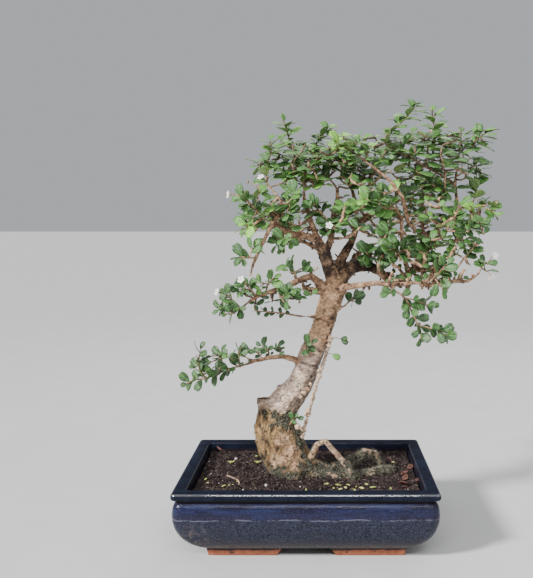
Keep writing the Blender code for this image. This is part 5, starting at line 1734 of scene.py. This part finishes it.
SPENT_FLOWERS = ((130, -26, 482), (145, -26, 483), (12, -46, 325), (-8, -38, 285), (96, -44, 436),
                 (226, -10, 402), (-66, -50, 424))
husk_finish = mottled("husk", (420.0, 0.40, 0.62), (0.150, 0.080, 0.045), (0.480, 0.330, 0.210),
                      (1200.0, 0.0003, 0.6), Roughness=0.8)
draw = random.Random(15)
husk = lump("husk", 0.9, 2, 4.0)
soften(husk)
coat(husk, husk_finish)
stalks = []
heads = []
nearby = finder(carriers)
for hanging in SPENT_FLOWERS:
    place = at(*hanging)
    foot = nearby.find(place)[0]
    knee = (foot + place) / 2 + Vector((0, 0, 1.5 * MM))
    stalks.append([(foot, 0.5), (knee, 0.4), (place, 0.5)])
    turn = Matrix.Rotation(draw.uniform(0, 3), 4, "X")
    shape = Matrix.Diagonal((draw.uniform(2.4, 3.2), draw.uniform(2.4, 3.2), draw.uniform(3.6, 5.0), 1))
    heads.append(Matrix.Translation(place) @ turn @ shape)
spent = scatter("spent_flowers", husk, heads)
discard(husk)
stalk = shoots("stalks", stalks)
coat(stalk, husk_finish)
join(spent, stalk)
settle(spent, "spent_flowers")
belong(spent, "petal")

# Flowers
# Small white stars: a corolla fused from five lobes round a short tube, with five pale stamens, seated in a
# green cup at the end of its stalk.

LOBE_REACH, LOBE_WIDTH, LOBE_LEVEL = 4.8, 3.3, 2.05
TUBE_RADIUS, TUBE_MOUTH, TUBE_LENGTH, STAMEN_LENGTH = 0.9, 1.5, 2.1, 2.4
LOBE_OUTLINE = ((0.0, 0.35), (0.25, 0.72), (0.5, 1.0), (0.75, 0.92), (0.92, 0.55), (1.0, 0.12))

petal_finish = mottled("petal_white", (420.0, 0.35, 0.7), (0.74, 0.73, 0.66), (0.90, 0.90, 0.87),
                       (1400.0, 0.0002, 0.4), Roughness=0.55, Subsurface_Weight=0.15,
                       Subsurface_Radius=(0.002, 0.002, 0.0015))
throat_finish = mottled("flower_throat", (1200.0, 0.35, 0.65), (0.30, 0.34, 0.09), (0.62, 0.58, 0.30),
                        (2000.0, 0.0002, 0.4), Roughness=0.6)

lobe = thin_blade("lobe", ((LOBE_REACH - TUBE_RADIUS) * MM, LOBE_WIDTH * MM), LOBE_OUTLINE,
                  (-0.02, 0.12, 0.10), 0.35 * MM, (6, 4), [petal_finish, throat_finish])
for vertex in lobe.data.vertices:
    vertex.co += Vector(((TUBE_RADIUS - 0.3) * MM, 0, LOBE_LEVEL * MM + vertex.co.x * 0.12))
for face in lobe.data.polygons:
    face.material_index = 0
start_fresh()
bpy.ops.mesh.primitive_cone_add(vertices=16, radius1=TUBE_RADIUS * MM, radius2=TUBE_MOUTH * MM,
                                depth=TUBE_LENGTH * MM, end_fill_type="NGON",
                                location=(0, 0, TUBE_LENGTH / 2 * MM))
tube = bpy.context.object
fix_place()
bpy.ops.object.mode_set(mode="EDIT")
select_tops(tube)
bpy.ops.mesh.inset(thickness=0.25 * MM, depth=0)
extrude(z=-1.0)
bpy.ops.transform.resize(value=(0.5, 0.5, 1))
bpy.ops.object.mode_set(mode="OBJECT")
coat(tube, petal_finish, throat_finish)
for face in tube.data.polygons:
    face.material_index = int(face.center.z < 1.3 * MM)
start_fresh()
bpy.ops.mesh.primitive_cylinder_add(vertices=6, radius=0.13 * MM, depth=STAMEN_LENGTH * MM,
                                    location=(0, 0, STAMEN_LENGTH / 2 * MM))
stamen = bpy.context.object
fix_place()
bpy.ops.mesh.primitive_ico_sphere_add(subdivisions=1, radius=0.34 * MM, scale=(1, 1, 1.5),
                                      location=(0, 0, (STAMEN_LENGTH + 0.1) * MM))
fix_place()
join(stamen, bpy.context.object)
coat(stamen, throat_finish)
fifths = [Matrix.Rotation(math.tau * fifth / 5, 4, "Z") for fifth in range(5)]
lobes = scatter("lobes", lobe, fifths)
leaning = Matrix.Rotation(math.tau / 10, 4, "Z") @ Matrix.Translation((0.75 * MM, 0, 1.0 * MM))
leaning = leaning @ Matrix.Rotation(0.35, 4, "Y")
stamens = scatter("stamens", stamen, [turn @ leaning for turn in fifths])
join(tube, lobes, stamens)
discard(lobe, stamen)
for name, (_, _, _, place, facing) in FLOWER_STALKS.items():
    pose = Vector(facing).to_track_quat("Z", "Y").to_matrix().to_4x4()
    pose.translation = at(*place)
    blossom = strewn("corolla_" + name, tube, [pose], "petal", "flower_" + name)
    smooth(blossom, 50)
discard(tube)

# Stage
# A plain pale floor, soft studio light from the front left, and a camera where the photograph was taken: a
# little over 0.9 m in front of the pot and level with the crown.

CAMERA_PLACE, CAMERA_TILT, CAMERA_LENS, CAMERA_SHIFT = (17.0, -918.8, 378.0), 5.02, 47.31, -0.0946
LAMPS = (                   # place in millimetres, width and height in metres, watts
    ((1000, -900, 700), 1.4, 1.4, 5), ((300, 900, 1300), 1.2, 1.2, 8), ((0, -1150, 950), 0.8, 0.05, 9.5),
)
LAMPS_FACE = (40, 0, 250)
KEY_FROM, KEY_STRENGTH, KEY_SOFTNESS = (-0.86, -0.58, 0.68), 7.2, 9.0
SKY_COLOUR, SKY_STRENGTH = (0.86, 0.90, 0.95, 1), 0.52
FLOOR_SIZE = 60

start_fresh()
bpy.ops.mesh.primitive_plane_add(size=FLOOR_SIZE, location=(0, 0, cad_low.z))
floor = bpy.context.object
floor.name = "floor"
pale, tree, shader = new_finish("pale_floor", Roughness=0.7)
clouded = mask(node(tree, "TexCoord").outputs["Object"], 14.0, 0.2, 0.8)
feed(shader, Base_Color=mixed(clouded, (0.500, 0.495, 0.490), (0.540, 0.535, 0.530)))
coat(floor, pale)

for place, wide, high, power in LAMPS:
    light = bpy.data.lights.new("softbox", "AREA")
    light.shape = "RECTANGLE"
    light.size = wide
    light.size_y = high
    light.energy = power
    lamp = placed(bpy.data.objects.new("softbox", light))
    lamp.location = at(*place)
    lamp.rotation_euler = (at(*LAMPS_FACE) - lamp.location).to_track_quat("-Z", "Y").to_euler()
key = bpy.data.lights.new("key", "SUN")
key.energy = KEY_STRENGTH
key.angle = math.radians(KEY_SOFTNESS)
lamp = placed(bpy.data.objects.new("key", key))
lamp.rotation_euler = (-Vector(KEY_FROM)).to_track_quat("-Z", "Y").to_euler()
sky = bpy.data.worlds.new("studio")
sky.use_nodes = True
sky.node_tree.nodes["Background"].inputs["Color"].default_value = SKY_COLOUR
sky.node_tree.nodes["Background"].inputs["Strength"].default_value = SKY_STRENGTH
bpy.context.scene.world = sky

lens = bpy.data.cameras.new("camera")
lens.sensor_width = 36
lens.lens = CAMERA_LENS
lens.shift_x = CAMERA_SHIFT
camera = placed(bpy.data.objects.new("camera", lens))
camera.location = at(*CAMERA_PLACE)
camera.rotation_euler = (math.radians(90 - CAMERA_TILT), 0, 0)
bpy.context.scene.camera = camera
